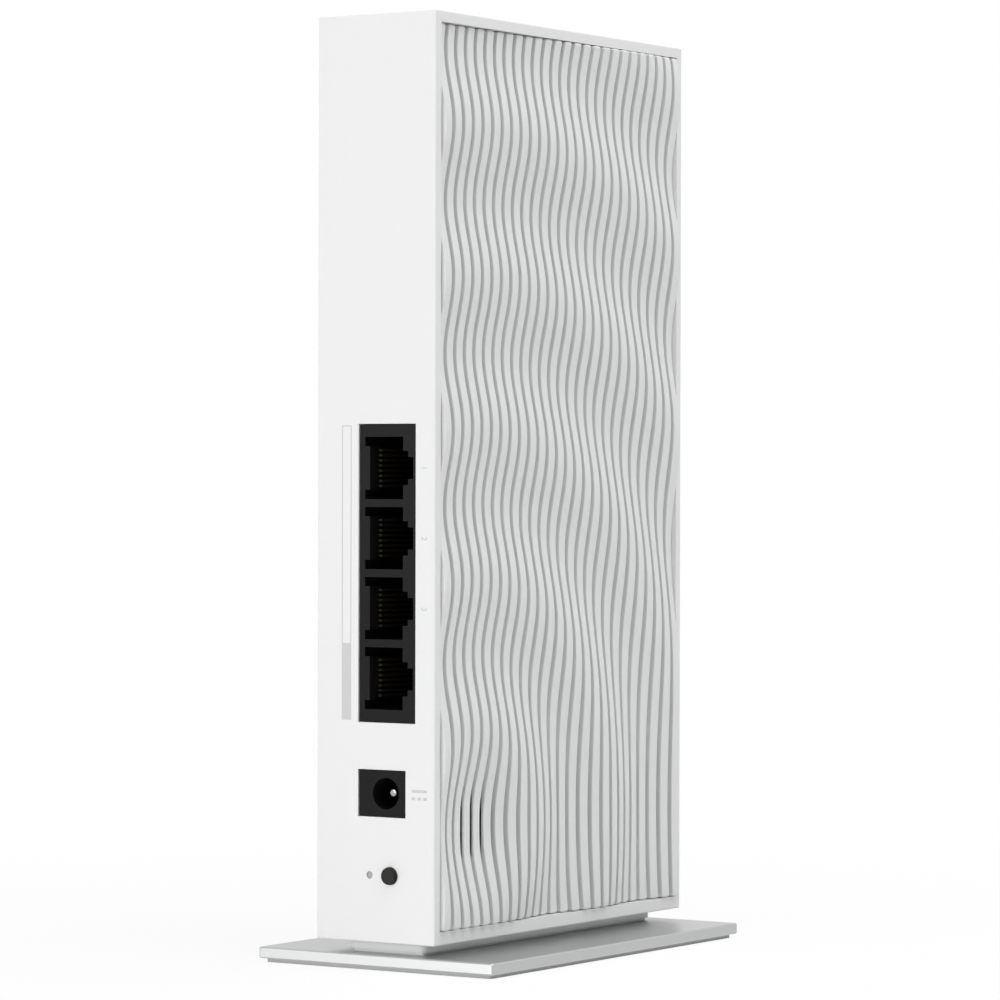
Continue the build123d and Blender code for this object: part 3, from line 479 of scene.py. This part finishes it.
def panel_tree():
    """Node tree of a rippled panel: ribs, and the grooves' floors between them."""
    tree = bpy.data.node_groups.new("rippled_panel", "GeometryNodeTree")
    tree.interface.new_socket(name="Panel", in_out="OUTPUT", socket_type="NodeSocketGeometry")
    given = named_inputs(tree, (*PANEL_SETTINGS, *PANEL_PLACES), PANEL_COUNTS)
    joined = tree.nodes.new("GeometryNodeJoinGeometry")
    for part in (ribs(tree, given), groove_floors(tree, given)):
        tree.links.new(part, joined.inputs[0])
    flipped = tree.nodes.new("GeometryNodeFlipFaces")
    is_left = given["side"].worked("LESS_THAN", 0.0)
    tree.links.new(joined.outputs[0], flipped.inputs["Mesh"])
    tree.links.new(is_left.socket, flipped.inputs["Selection"])
    smooth = tree.nodes.new("GeometryNodeSetShadeSmooth")
    tree.links.new(flipped.outputs[0], smooth.inputs["Geometry"])
    angle = tree.nodes.new("GeometryNodeInputMeshEdgeAngle")
    is_sharp = Field(tree, angle.outputs[0]).worked("GREATER_THAN", SHARP_ANGLE)
    sharp = tree.nodes.new("GeometryNodeSetShadeSmooth")
    sharp.domain = "EDGE"
    sharp.inputs["Shade Smooth"].default_value = False
    tree.links.new(smooth.outputs[0], sharp.inputs["Geometry"])
    tree.links.new(is_sharp.socket, sharp.inputs["Selection"])
    real = tree.nodes.new("GeometryNodeRealizeInstances")
    tree.links.new(sharp.outputs[0], real.inputs[0])
    painted = tree.nodes.new("GeometryNodeSetMaterial")
    tree.links.new(real.outputs[0], painted.inputs["Geometry"])
    tree.links.new(given["material"].socket, painted.inputs["Material"])
    end = tree.nodes.new("NodeGroupOutput")
    tree.links.new(painted.outputs[0], end.inputs[0])
    return tree


def panel_values(sizes, side):
    """Values of the panel tree's inputs for one side of the case."""
    pairs = int((PANEL_HIGH.y - sizes.groove_width) / sizes.rib_pitch)
    grooves = 2 * pairs + 1
    values = {name: getattr(sizes, name) for name in PANEL_SETTINGS}
    values.update(
        side=side,
        outer_x=CASE_HIGH.x,
        case_bottom=CASE_LOW.z,
        first_groove=pairs * sizes.rib_pitch,
        panel_rear=PANEL_HIGH.y,
        panel_front=PANEL_LOW.y,
        panel_bottom=PANEL_LOW.z,
        panel_top=PANEL_HIGH.z,
        ribs=grooves + 1,
        grooves=grooves,
        strips_a_groove=STRIPS_A_GROOVE,
        points_round_a_rib=ROUND_A_RIB,
        rows_a_rib=ROWS_A_RIB,
        material=bpy.data.materials["rib_plastic"],
    )
    return values


def new_object(name, mesh):
    """An object in the scene."""
    piece = bpy.data.objects.new(name, mesh)
    bpy.context.scene.collection.objects.link(piece)
    return piece


def grown(name, tree, values):
    """Runs a node tree once and keeps its result as a plain mesh."""
    piece = new_object(name, bpy.data.meshes.new(name))
    modifier = piece.modifiers.new("shape", "NODES")
    modifier.node_group = tree
    for item in tree.interface.items_tree:
        if item.in_out == "INPUT":
            modifier[item.identifier] = values[item.name]
    normals = piece.modifiers.new("even_shading", "WEIGHTED_NORMAL")
    normals.keep_sharp = True
    evaluated = piece.evaluated_get(bpy.context.evaluated_depsgraph_get())
    mesh = bpy.data.meshes.new_from_object(evaluated)
    piece.modifiers.clear()
    piece.data = mesh
    mesh.name = name
    return piece


def add_hooks(piece, node, inner_x):
    """Adds the snap hooks behind a panel, cut from its CAD solid."""
    hooks = bmesh.new()
    hooks.from_mesh(frame["nodes"][node].data)
    bmesh.ops.remove_doubles(hooks, verts=hooks.verts, dist=MERGE_DISTANCE)
    outwards = Vector((math.copysign(1.0, inner_x), 0, 0))
    everything = hooks.verts[:] + hooks.edges[:] + hooks.faces[:]
    bmesh.ops.bisect_plane(
        hooks, geom=everything, plane_co=(inner_x, 0, 0), plane_no=outwards, clear_outer=True
    )
    open_edges = [edge for edge in hooks.edges if edge.is_boundary]
    bmesh.ops.holes_fill(hooks, edges=open_edges)
    for face in hooks.faces:
        face.smooth = False
    extra = bpy.data.meshes.new("hooks")
    hooks.to_mesh(extra)
    hooks.free()
    whole = bmesh.new()
    whole.from_mesh(piece.data)
    whole.from_mesh(extra)
    whole.to_mesh(piece.data)
    whole.free()
    bpy.data.meshes.remove(extra)


class NODE_OT_rippled_panels(bpy.types.Operator):
    """Build the two rippled side panels"""

    bl_idname = "wifi_node.rippled_panels"
    bl_label = "Rippled panels"

    def execute(self, context):
        sizes = context.scene.wifi_node.panel
        tree = panel_tree()
        inner_x = CASE_HIGH.x - sizes.floor_recess - sizes.floor_thickness
        for name, side in (("left", -1), ("right", 1)):
            piece = grown(f"rippled_panel_{name}", tree, panel_values(sizes, side))
            add_hooks(piece, f"wave_panel_{name}", side * inner_x)
            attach(piece, HOUSING)
            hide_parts(f"wave_panel_{name}")
        return {"FINISHED"}


# ---- plain marks on the rear face ----

PORTS = 4
PORT_PITCH = 13.97 * MM
NUMBERED_PORTS = (1, 2, 3)
BAR_FOOT_GAP = 0.2 * MM
BAR_HEAD_GAP = 0.15 * MM
FILLED_SHARE = 0.261
SIGN_DASHES = 3
SIGN_LINE_HEIGHT = 0.55 * MM
SIGN_DASH_GAP = 0.5 * MM
SIGN_BAR_RISE = 0.5 * MM
SIGN_DASH_DROP = 1.0 * MM
DIGIT_SHARE_OF_SIZE = 0.7
DIGIT_CURVE_STEPS = 6


def printed(name, bm):
    """A mark of ink on the rear face."""
    bmesh.ops.recalc_face_normals(bm, faces=bm.faces)
    mesh = bpy.data.meshes.new(name)
    bm.to_mesh(mesh)
    bm.free()
    piece = new_object(name, mesh)
    mesh.materials.append(bpy.data.materials["mark_ink"])
    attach(piece, HOUSING)


def add_bar(bm, x_low, x_high, z_low, z_high, thickness):
    """A flat bar of ink."""
    size = Vector((x_high - x_low, thickness, z_high - z_low))
    middle = Vector(((x_low + x_high) / 2, CASE_HIGH.y + thickness / 2, (z_low + z_high) / 2))
    place = Matrix.Translation(middle) @ Matrix.Diagonal((*size, 1.0))
    bmesh.ops.create_cube(bm, size=1.0, matrix=place)


def bar_ends():
    """Foot, parting and head of the bars beside the network sockets."""
    foot = LAN_LOW.z + BAR_FOOT_GAP
    head = LAN_HIGH.z - BAR_HEAD_GAP
    return foot, foot + (head - foot) * FILLED_SHARE, head


def outlined_bar(sizes):
    """Outlined bar beside the upper three sockets."""
    _, low, high = bar_ends()
    bm = bmesh.new()
    line = sizes.line_width
    thick = sizes.ink_thickness
    add_bar(bm, sizes.bar_near, sizes.bar_near + line, low, high, thick)
    add_bar(bm, sizes.bar_far - line, sizes.bar_far, low, high, thick)
    add_bar(bm, sizes.bar_near + line, sizes.bar_far - line, high - line, high, thick)
    printed("outlined_bar", bm)


def filled_bar(sizes):
    """Filled bar beside the lowest socket."""
    low, high, _ = bar_ends()
    bm = bmesh.new()
    add_bar(bm, sizes.bar_near, sizes.bar_far, low, high, sizes.ink_thickness)
    printed("filled_bar", bm)


def current_sign(sizes):
    """Direct-current sign beside the power socket: a bar over three dashes."""
    bm = bmesh.new()
    middle = (DC_LOW.z + DC_HIGH.z) / 2
    thick = sizes.ink_thickness
    near, far = -sizes.sign_near, -sizes.sign_far
    low = middle + SIGN_BAR_RISE
    add_bar(bm, far, near, low, low + SIGN_LINE_HEIGHT, thick)
    low = middle - SIGN_DASH_DROP
    dash = (near - far - (SIGN_DASHES - 1) * SIGN_DASH_GAP) / SIGN_DASHES
    for i in range(SIGN_DASHES):
        start = far + i * (dash + SIGN_DASH_GAP)
        add_bar(bm, start, start + dash, low, low + SIGN_LINE_HEIGHT, thick)
    printed("current_sign", bm)


def port_number(sizes, number, z):
    """A plain digit beside a socket, turned to read downwards."""
    text = bpy.data.curves.new(f"digit_{number}", "FONT")
    text.body = str(number)
    text.size = sizes.digit_height / DIGIT_SHARE_OF_SIZE
    text.extrude = sizes.ink_thickness / 2
    text.align_x = "CENTER"
    text.align_y = "CENTER"
    text.resolution_u = DIGIT_CURVE_STEPS
    holder = new_object(f"digit_{number}", text)
    evaluated = holder.evaluated_get(bpy.context.evaluated_depsgraph_get())
    mesh = bpy.data.meshes.new_from_object(evaluated)
    bpy.data.objects.remove(holder)
    across, up, out = Vector((0, 0, -1)), Vector((-1, 0, 0)), Vector((0, 1, 0))
    turn = Matrix((across, up, out)).transposed().to_4x4()
    place = (-sizes.digit_x, CASE_HIGH.y + sizes.ink_thickness / 2, z)
    mesh.transform(Matrix.Translation(place) @ turn)
    bm = bmesh.new()
    bm.from_mesh(mesh)
    bmesh.ops.remove_doubles(bm, verts=bm.verts, dist=MERGE_DISTANCE)
    bpy.data.meshes.remove(mesh)
    printed(f"port_number_{number}", bm)


class NODE_OT_rear_marks(bpy.types.Operator):
    """Print the plain marks beside the sockets"""

    bl_idname = "wifi_node.rear_marks"
    bl_label = "Rear marks"

    def execute(self, context):
        sizes = context.scene.wifi_node.marks
        outlined_bar(sizes)
        filled_bar(sizes)
        current_sign(sizes)
        middle = (LAN_LOW.z + LAN_HIGH.z) / 2
        for number in NUMBERED_PORTS:
            port_number(sizes, number, middle + ((PORTS + 1) / 2 - number) * PORT_PITCH)
        return {"FINISHED"}


# ---- effects that several finishes share ----

GRAIN_DETAIL = 2.0
CLOUD_DETAIL = 3.0
LINE_DETAIL = 3.0
MOULDED_CLOUD_SCALE = 35.0
METAL_CLOUD_SCALE = 60.0


def effect_tree(name, numbers):
    """An empty shader group with a vector, named numbers and three outputs."""
    tree = bpy.data.node_groups.new(name, "ShaderNodeTree")
    tree.interface.new_socket(name="Vector", in_out="INPUT", socket_type="NodeSocketVector")
    number_type = "NodeSocketFloat"
    for label, value in numbers.items():
        socket = tree.interface.new_socket(name=label, in_out="INPUT", socket_type=number_type)
        socket.default_value = value
    for label in ("Tint", "Roughness", "Height"):
        tree.interface.new_socket(name=label, in_out="OUTPUT", socket_type=number_type)
    start = tree.nodes.new("NodeGroupInput")
    given = {label: Field(tree, start.outputs[label]) for label in ("Vector", *numbers)}
    return tree, given


def noise(tree, vector, scale, detail):
    """Cloudy noise between 0 and 1."""
    node = tree.nodes.new("ShaderNodeTexNoise")
    node.inputs["Detail"].default_value = detail
    tree.links.new(vector.socket, node.inputs["Vector"])
    if isinstance(scale, Field):
        tree.links.new(scale.socket, node.inputs["Scale"])
    else:
        node.inputs["Scale"].default_value = scale
    return Field(tree, node.outputs[0])


def cells(tree, vector, scale):
    """Distance to the nearest of many scattered points."""
    node = tree.nodes.new("ShaderNodeTexVoronoi")
    tree.links.new(vector.socket, node.inputs["Vector"])
    tree.links.new(scale.socket, node.inputs["Scale"])
    return Field(tree, node.outputs["Distance"])


def put_out(tree, tint, roughness, height):
    """Ends an effect's tree."""
    end = tree.nodes.new("NodeGroupOutput")
    for value, name in ((tint, "Tint"), (roughness, "Roughness"), (height, "Height")):
        tree.links.new(value.socket, end.inputs[name])


def moulded_grain():
    """Fine texture of a moulded surface, with faint clouds of shade and gloss."""
    numbers = {"Grain": 4000.0, "Shade": 0.02, "Gloss": 0.45, "Cloud": 0.06}
    tree, given = effect_tree("moulded_grain", numbers)
    grain = noise(tree, given["Vector"], given["Grain"], GRAIN_DETAIL)
    clouds = noise(tree, given["Vector"], MOULDED_CLOUD_SCALE, CLOUD_DETAIL) - 0.5
    tint = 1.0 + clouds * given["Shade"] + (grain - 0.5) * given["Shade"]
    put_out(tree, tint, given["Gloss"] + clouds * given["Cloud"], grain)


def blasted_metal():
    """Pits of a blasted or cast surface."""
    numbers = {"Grain": 5000.0, "Shade": 0.1, "Gloss": 0.4, "Cloud": 0.1}
    tree, given = effect_tree("blasted_metal", numbers)
    pits = cells(tree, given["Vector"], given["Grain"])
    clouds = noise(tree, given["Vector"], METAL_CLOUD_SCALE, CLOUD_DETAIL) - 0.5
    tint = 1.0 + (pits - 0.5) * given["Shade"] + clouds * given["Shade"]
    put_out(tree, tint, given["Gloss"] + clouds * given["Cloud"], pits)


def drawn_lines():
    """Fine lines of brushed, rolled or drawn metal, which run along the mapped Y axis."""
    numbers = {"Lines": 9000.0, "Stretch": 0.01, "Shade": 0.1, "Gloss": 0.3}
    tree, given = effect_tree("drawn_lines", numbers)
    parts = tree.nodes.new("ShaderNodeSeparateXYZ")
    tree.links.new(given["Vector"].socket, parts.inputs[0])
    squeezed = tree.nodes.new("ShaderNodeCombineXYZ")
    x, y, z = [Field(tree, socket) for socket in parts.outputs]
    for socket, value in zip(squeezed.inputs, (x, y * given["Stretch"], z)):
        tree.links.new(value.socket, socket)
    lines = noise(tree, Field(tree, squeezed.outputs[0]), given["Lines"], LINE_DETAIL)
    tint = 1.0 + (lines - 0.5) * given["Shade"]
    put_out(tree, tint, given["Gloss"] + (lines - 0.5) * given["Shade"], lines)


# ---- finishes ----

# A mix node's colour sockets have the same names as its other sockets, so they go by number.
MIX_COLOUR_A, MIX_COLOUR_B, MIX_COLOUR_RESULT = 6, 7, 2
QUARTER_TURN = math.pi / 2


def finish(name, colour, effect, values, bump=0.1, depth=0.02, turn=(0, 0, 0), **shader):
    """A material: one shared effect over a colour, and the shader's own settings."""
    material = bpy.data.materials.new(name)
    material.use_nodes = True
    material.diffuse_color = (*colour, 1.0)
    tree = material.node_tree
    tree.nodes.clear()
    end = tree.nodes.new("ShaderNodeOutputMaterial")
    surface = tree.nodes.new("ShaderNodeBsdfPrincipled")
    tree.links.new(surface.outputs[0], end.inputs["Surface"])
    for label, value in shader.items():
        surface.inputs[label.replace("_", " ").title().replace("Ior", "IOR")].default_value = value
    place = tree.nodes.new("ShaderNodeTexCoord")
    turned = tree.nodes.new("ShaderNodeMapping")
    turned.inputs["Rotation"].default_value = turn
    tree.links.new(place.outputs["Object"], turned.inputs["Vector"])
    pattern = tree.nodes.new("ShaderNodeGroup")
    pattern.node_tree = bpy.data.node_groups[effect]
    for label, value in values.items():
        pattern.inputs[label].default_value = value
    tree.links.new(turned.outputs[0], pattern.inputs["Vector"])
    tinted = tree.nodes.new("ShaderNodeMix")
    tinted.data_type = "RGBA"
    tinted.blend_type = "MULTIPLY"
    tinted.inputs["Factor"].default_value = 1.0
    tinted.inputs[MIX_COLOUR_A].default_value = (*colour, 1.0)
    tree.links.new(pattern.outputs["Tint"], tinted.inputs[MIX_COLOUR_B])
    tree.links.new(tinted.outputs[MIX_COLOUR_RESULT], surface.inputs["Base Color"])
    tree.links.new(pattern.outputs["Roughness"], surface.inputs["Roughness"])
    relief = tree.nodes.new("ShaderNodeBump")
    relief.inputs["Strength"].default_value = bump
    relief.inputs["Distance"].default_value = depth * MM
    tree.links.new(pattern.outputs["Height"], relief.inputs["Height"])
    tree.links.new(relief.outputs[0], surface.inputs["Normal"])


def moulded(name, colour, gloss, grain=4000.0, shade=0.02, **more):
    """A moulded plastic or rubber."""
    values = {"Grain": grain, "Shade": shade, "Gloss": gloss, "Cloud": 0.05}
    finish(name, colour, "moulded_grain", values, **more)


def blasted(name, colour, gloss, grain=5000.0, shade=0.08, metallic=1.0, **more):
    """A blasted, cast or plated metal, or a speckled ceramic."""
    values = {"Grain": grain, "Shade": shade, "Gloss": gloss, "Cloud": 0.08}
    finish(name, colour, "blasted_metal", values, metallic=metallic, **more)


def drawn(name, colour, gloss, lines=9000.0, shade=0.1, **more):
    """A brushed, rolled or drawn metal."""
    values = {"Lines": lines, "Stretch": 0.01, "Shade": shade, "Gloss": gloss}
    finish(name, colour, "drawn_lines", values, metallic=1.0, **more)


def plastic_finishes(colours):
    """Case, panels, neck, sockets, button and marks."""
    moulded("white_plastic", colours.shell, 0.48, bump=0.12, depth=0.015)
    moulded("rib_plastic", colours.ribs, 0.5, bump=0.12, depth=0.015)
    moulded("neck_plastic", colours.pedestal, 0.5, bump=0.12, depth=0.015)
    moulded(
        "black_plastic", colours.sockets, 0.36,
        shade=0.2, bump=0.2, depth=0.02, specular_ior_level=0.08,
    )
    moulded(
        "button_plastic", colours.button, 0.5,
        grain=3500.0, shade=0.5, bump=0.9, depth=0.06, specular_ior_level=0.2,
    )
    moulded("pin_grey", (0.42, 0.42, 0.415), 0.4, shade=0.04)
    moulded("mark_ink", colours.ink, 0.45, grain=6000.0, shade=0.03, bump=0.05)


def metal_finishes(colours):
    """Plate, screws, cans, sink, contacts and pins."""
    drawn(
        "plate_aluminium", colours.plate, 0.36,
        lines=7000.0, shade=0.08, turn=(0, 0, QUARTER_TURN), bump=0.1,
    )
    drawn("screw_steel", (0.56, 0.57, 0.58), 0.3, turn=(QUARTER_TURN, 0, 0))
    # The contacts' gold is kept far darker than real gold: painted shade of the socket's dark
    # inside.
    drawn("contact_gold", (0.13, 0.105, 0.06), 0.42)
    drawn("pin_chrome", (0.30, 0.30, 0.30), 0.22, shade=0.05, bump=0.03)
    drawn("can_tin", (0.68, 0.69, 0.70), 0.32, turn=(QUARTER_TURN, 0, 0))
    blasted("sink_aluminium", (0.62, 0.63, 0.64), 0.42)


def board_finishes():
    """Circuit boards and what is on them."""
    blasted("board_laminate", (0.012, 0.10, 0.042), 0.3, grain=900.0, shade=0.25, metallic=0.0)
    blasted("aerial_laminate", (0.02, 0.021, 0.022), 0.34, grain=1100.0, shade=0.3, metallic=0.0)
    moulded("chip_black", (0.03, 0.03, 0.032), 0.55, shade=0.25, bump=0.3)
    blasted(
        "ferrite_grey", (0.045, 0.045, 0.048), 0.55,
        grain=3000.0, shade=0.5, metallic=0.0, bump=0.4,
    )
    moulded("capacitor_sleeve", (0.02, 0.02, 0.024), 0.25, shade=0.1, bump=0.05)
    moulded("pad_silicone", (0.17, 0.31, 0.42), 0.6, grain=2500.0, shade=0.1, bump=0.4)
    moulded("lead_jacket", (0.03, 0.03, 0.03), 0.3, shade=0.1, bump=0.05)
    moulded("led_resin", (0.8, 0.76, 0.55), 0.3, shade=0.06)


def small_finishes():
    """Foot mat and light pipe."""
    # Grey rubber mat whose tone is also set to stand in for the thin contact shadow under the
    # plate's edge: partly a real mat, partly painted shadow.
    moulded("mat_rubber", (0.50, 0.51, 0.51), 0.75, grain=2500.0, shade=0.08, bump=0.5, depth=0.05)
    moulded(
        "light_clear", (0.93, 0.95, 0.95), 0.12,
        bump=0.02, transmission_weight=0.9, ior=1.49,
    )


class NODE_OT_finishes(bpy.types.Operator):
    """Make every finish and give the CAD pieces theirs"""

    bl_idname = "wifi_node.finishes"
    bl_label = "Finishes"

    def execute(self, context):
        colours = context.scene.wifi_node.colours
        for effect in (moulded_grain, blasted_metal, drawn_lines):
            effect()
        # The materials that are there already give up the names that the finishes take.
        for old in list(bpy.data.materials):
            old.name = f"plain_{old.name}"
        plastic_finishes(colours)
        metal_finishes(colours)
        board_finishes()
        small_finishes()
        for part in frame["record"]["subparts"]:
            for slot in frame["nodes"][part["node"]].material_slots:
                slot.material = bpy.data.materials[part["material_slot"]]
        return {"FINISHED"}


# ---- stage ----

# The sensor's width is in millimetres, and every other distance here is in metres.
SENSOR_WIDTH = 36.0
CLIP_START, CLIP_END = 0.05, 50.0
KEY_PLACE, KEY_SIZE = (0.4, 1.3, 0.12), 0.5
TOP_PLACE, TOP_SIZE = (-0.35, 0.0, 0.9), 0.8
FLOOR_REACH, FLOOR_CELLS, FLOOR_DROP = 8.0, 8, 0.05 * MM
SHADOW_REACH, SHADOW_FADE = 0.1, 0.2
FLOOR_GLOW = 0.9


def seen_directly(tree):
    """1 for what the camera, a mirror or glass sees, and 0 for light that falls on the object."""
    path = tree.nodes.new("ShaderNodeLightPath")
    names = ("Is Camera Ray", "Is Glossy Ray", "Is Transmission Ray")
    rays = [Field(tree, path.outputs[name]) for name in names]
    return (rays[0] + rays[1] + rays[2]).at_most(1.0)


def white_room(sky_light):
    """A world that shows white and lights the object softly from above."""
    world = bpy.data.worlds.new("white_room")
    bpy.context.scene.world = world
    world.use_nodes = True
    tree = world.node_tree
    backdrop = tree.nodes["Background"]
    backdrop.inputs["Color"].default_value = (1, 1, 1, 1)
    direction = tree.nodes.new("ShaderNodeTexCoord")
    parts = tree.nodes.new("ShaderNodeSeparateXYZ")
    tree.links.new(direction.outputs["Generated"], parts.inputs[0])
    height = Field(tree, parts.outputs["Z"]).at_least(0.0)
    seen = seen_directly(tree)
    strength = seen + (1.0 - seen) * height * sky_light
    tree.links.new(strength.socket, backdrop.inputs["Strength"])


def floor_finish(colour):
    """Pale floor that glows white, a little less near the object, to keep its shadow there."""
    material = bpy.data.materials.new("floor")
    material.use_nodes = True
    tree = material.node_tree
    tree.nodes.clear()
    end = tree.nodes.new("ShaderNodeOutputMaterial")
    matt = tree.nodes.new("ShaderNodeBsdfDiffuse")
    matt.inputs["Color"].default_value = (*colour, 1.0)
    glow = tree.nodes.new("ShaderNodeEmission")
    mix = tree.nodes.new("ShaderNodeMixShader")
    place = tree.nodes.new("ShaderNodeTexCoord")
    distance = tree.nodes.new("ShaderNodeVectorMath")
    distance.operation = "LENGTH"
    tree.links.new(place.outputs["Object"], distance.inputs[0])
    from_middle = Field(tree, distance.outputs["Value"])
    far = ((from_middle - SHADOW_REACH) / SHADOW_FADE).within(0.0, 1.0)
    share = seen_directly(tree) * (FLOOR_GLOW + far * (1.0 - FLOOR_GLOW))
    tree.links.new(share.socket, mix.inputs[0])
    tree.links.new(matt.outputs[0], mix.inputs[1])
    tree.links.new(glow.outputs[0], mix.inputs[2])
    tree.links.new(mix.outputs[0], end.inputs["Surface"])
    return material


def floor(colour):
    """A wide floor just under the mat."""
    bm = bmesh.new()
    bmesh.ops.create_grid(
        bm, x_segments=FLOOR_CELLS, y_segments=FLOOR_CELLS, size=FLOOR_REACH
    )
    mesh = bpy.data.meshes.new("floor")
    bm.to_mesh(mesh)
    bm.free()
    mesh.transform(Matrix.Translation((0, 0, -FLOOR_DROP)))
    mesh.materials.append(floor_finish(colour))
    new_object("floor", mesh)


def lamp(name, place, size, power):
    """A soft square lamp that faces the middle of the case."""
    data = bpy.data.lights.new(name, "AREA")
    data.size = size
    data.energy = power
    holder = new_object(name, data)
    holder.visible_camera = False
    holder.location = place
    middle = (CASE_LOW + CASE_HIGH) / 2
    holder.rotation_euler = (Vector(place) - middle).to_track_quat("Z", "Y").to_euler()


def camera(settings):
    """The camera, placed and turned."""
    data = bpy.data.cameras.new("camera")
    data.lens = settings.lens
    data.sensor_width = SENSOR_WIDTH
    data.clip_start = CLIP_START
    data.clip_end = CLIP_END
    holder = new_object("camera", data)
    azimuth, elevation = settings.azimuth, settings.elevation
    back = Vector((
        math.sin(azimuth) * math.cos(elevation),
        -math.cos(azimuth) * math.cos(elevation),
        math.sin(elevation),
    ))
    right = Vector((0, 0, 1)).cross(back).normalized()
    level = Matrix((right, back.cross(right), back)).transposed().to_4x4()
    turn = level @ Matrix.Rotation(settings.roll, 4, "Z")
    holder.matrix_world = Matrix.Translation(settings.camera_place) @ turn
    bpy.context.scene.camera = holder


class NODE_OT_stage(bpy.types.Operator):
    """Set the camera, lamps, floor and white surroundings"""

    bl_idname = "wifi_node.stage"
    bl_label = "Stage"

    def execute(self, context):
        settings = context.scene.wifi_node.stage
        context.scene.view_settings.view_transform = "Standard"
        camera(settings)
        white_room(settings.sky_light)
        floor(settings.floor)
        lamp("key_lamp", KEY_PLACE, KEY_SIZE, settings.key_power)
        lamp("top_lamp", TOP_PLACE, TOP_SIZE, settings.top_power)
        return {"FINISHED"}


# ---- add-on ----

class NODE_PT_sidebar(bpy.types.Panel):
    """Lists the steps and their settings"""

    bl_idname = "NODE_PT_sidebar"
    bl_label = "Wifi node"
    bl_space_type = "VIEW_3D"
    bl_region_type = "UI"
    bl_category = "Wifi node"

    def draw(self, context):
        settings = context.scene.wifi_node
        for step in STEPS:
            self.layout.operator(step.bl_idname)
        for group in (settings.panel, settings.marks, settings.colours, settings.stage):
            box = self.layout.box()
            for name in group.bl_rna.properties.keys():
                if name not in ("rna_type", "name"):
                    box.prop(group, name)


STEPS = (NODE_OT_stage, NODE_OT_finishes, NODE_OT_rippled_panels, NODE_OT_rear_marks)
SETTINGS = (PanelSizes, MarkSizes, FinishColours, StageSettings, NodeSettings)
CLASSES = (*SETTINGS, *STEPS, NODE_PT_sidebar)


def register():
    """Registers the classes and the scene's settings."""
    for cls in CLASSES:
        bpy.utils.register_class(cls)
    bpy.types.Scene.wifi_node = bpy.props.PointerProperty(type=NodeSettings)


def unregister():
    """Takes the classes and the scene's settings away."""
    del bpy.types.Scene.wifi_node
    for cls in reversed(CLASSES):
        bpy.utils.unregister_class(cls)


def main():
    """Runs every step in order."""
    register()
    bpy.ops.wifi_node.stage()
    bpy.ops.wifi_node.finishes()
    bpy.ops.wifi_node.rippled_panels()
    bpy.ops.wifi_node.rear_marks()


if __name__ == "__main__":
    main()
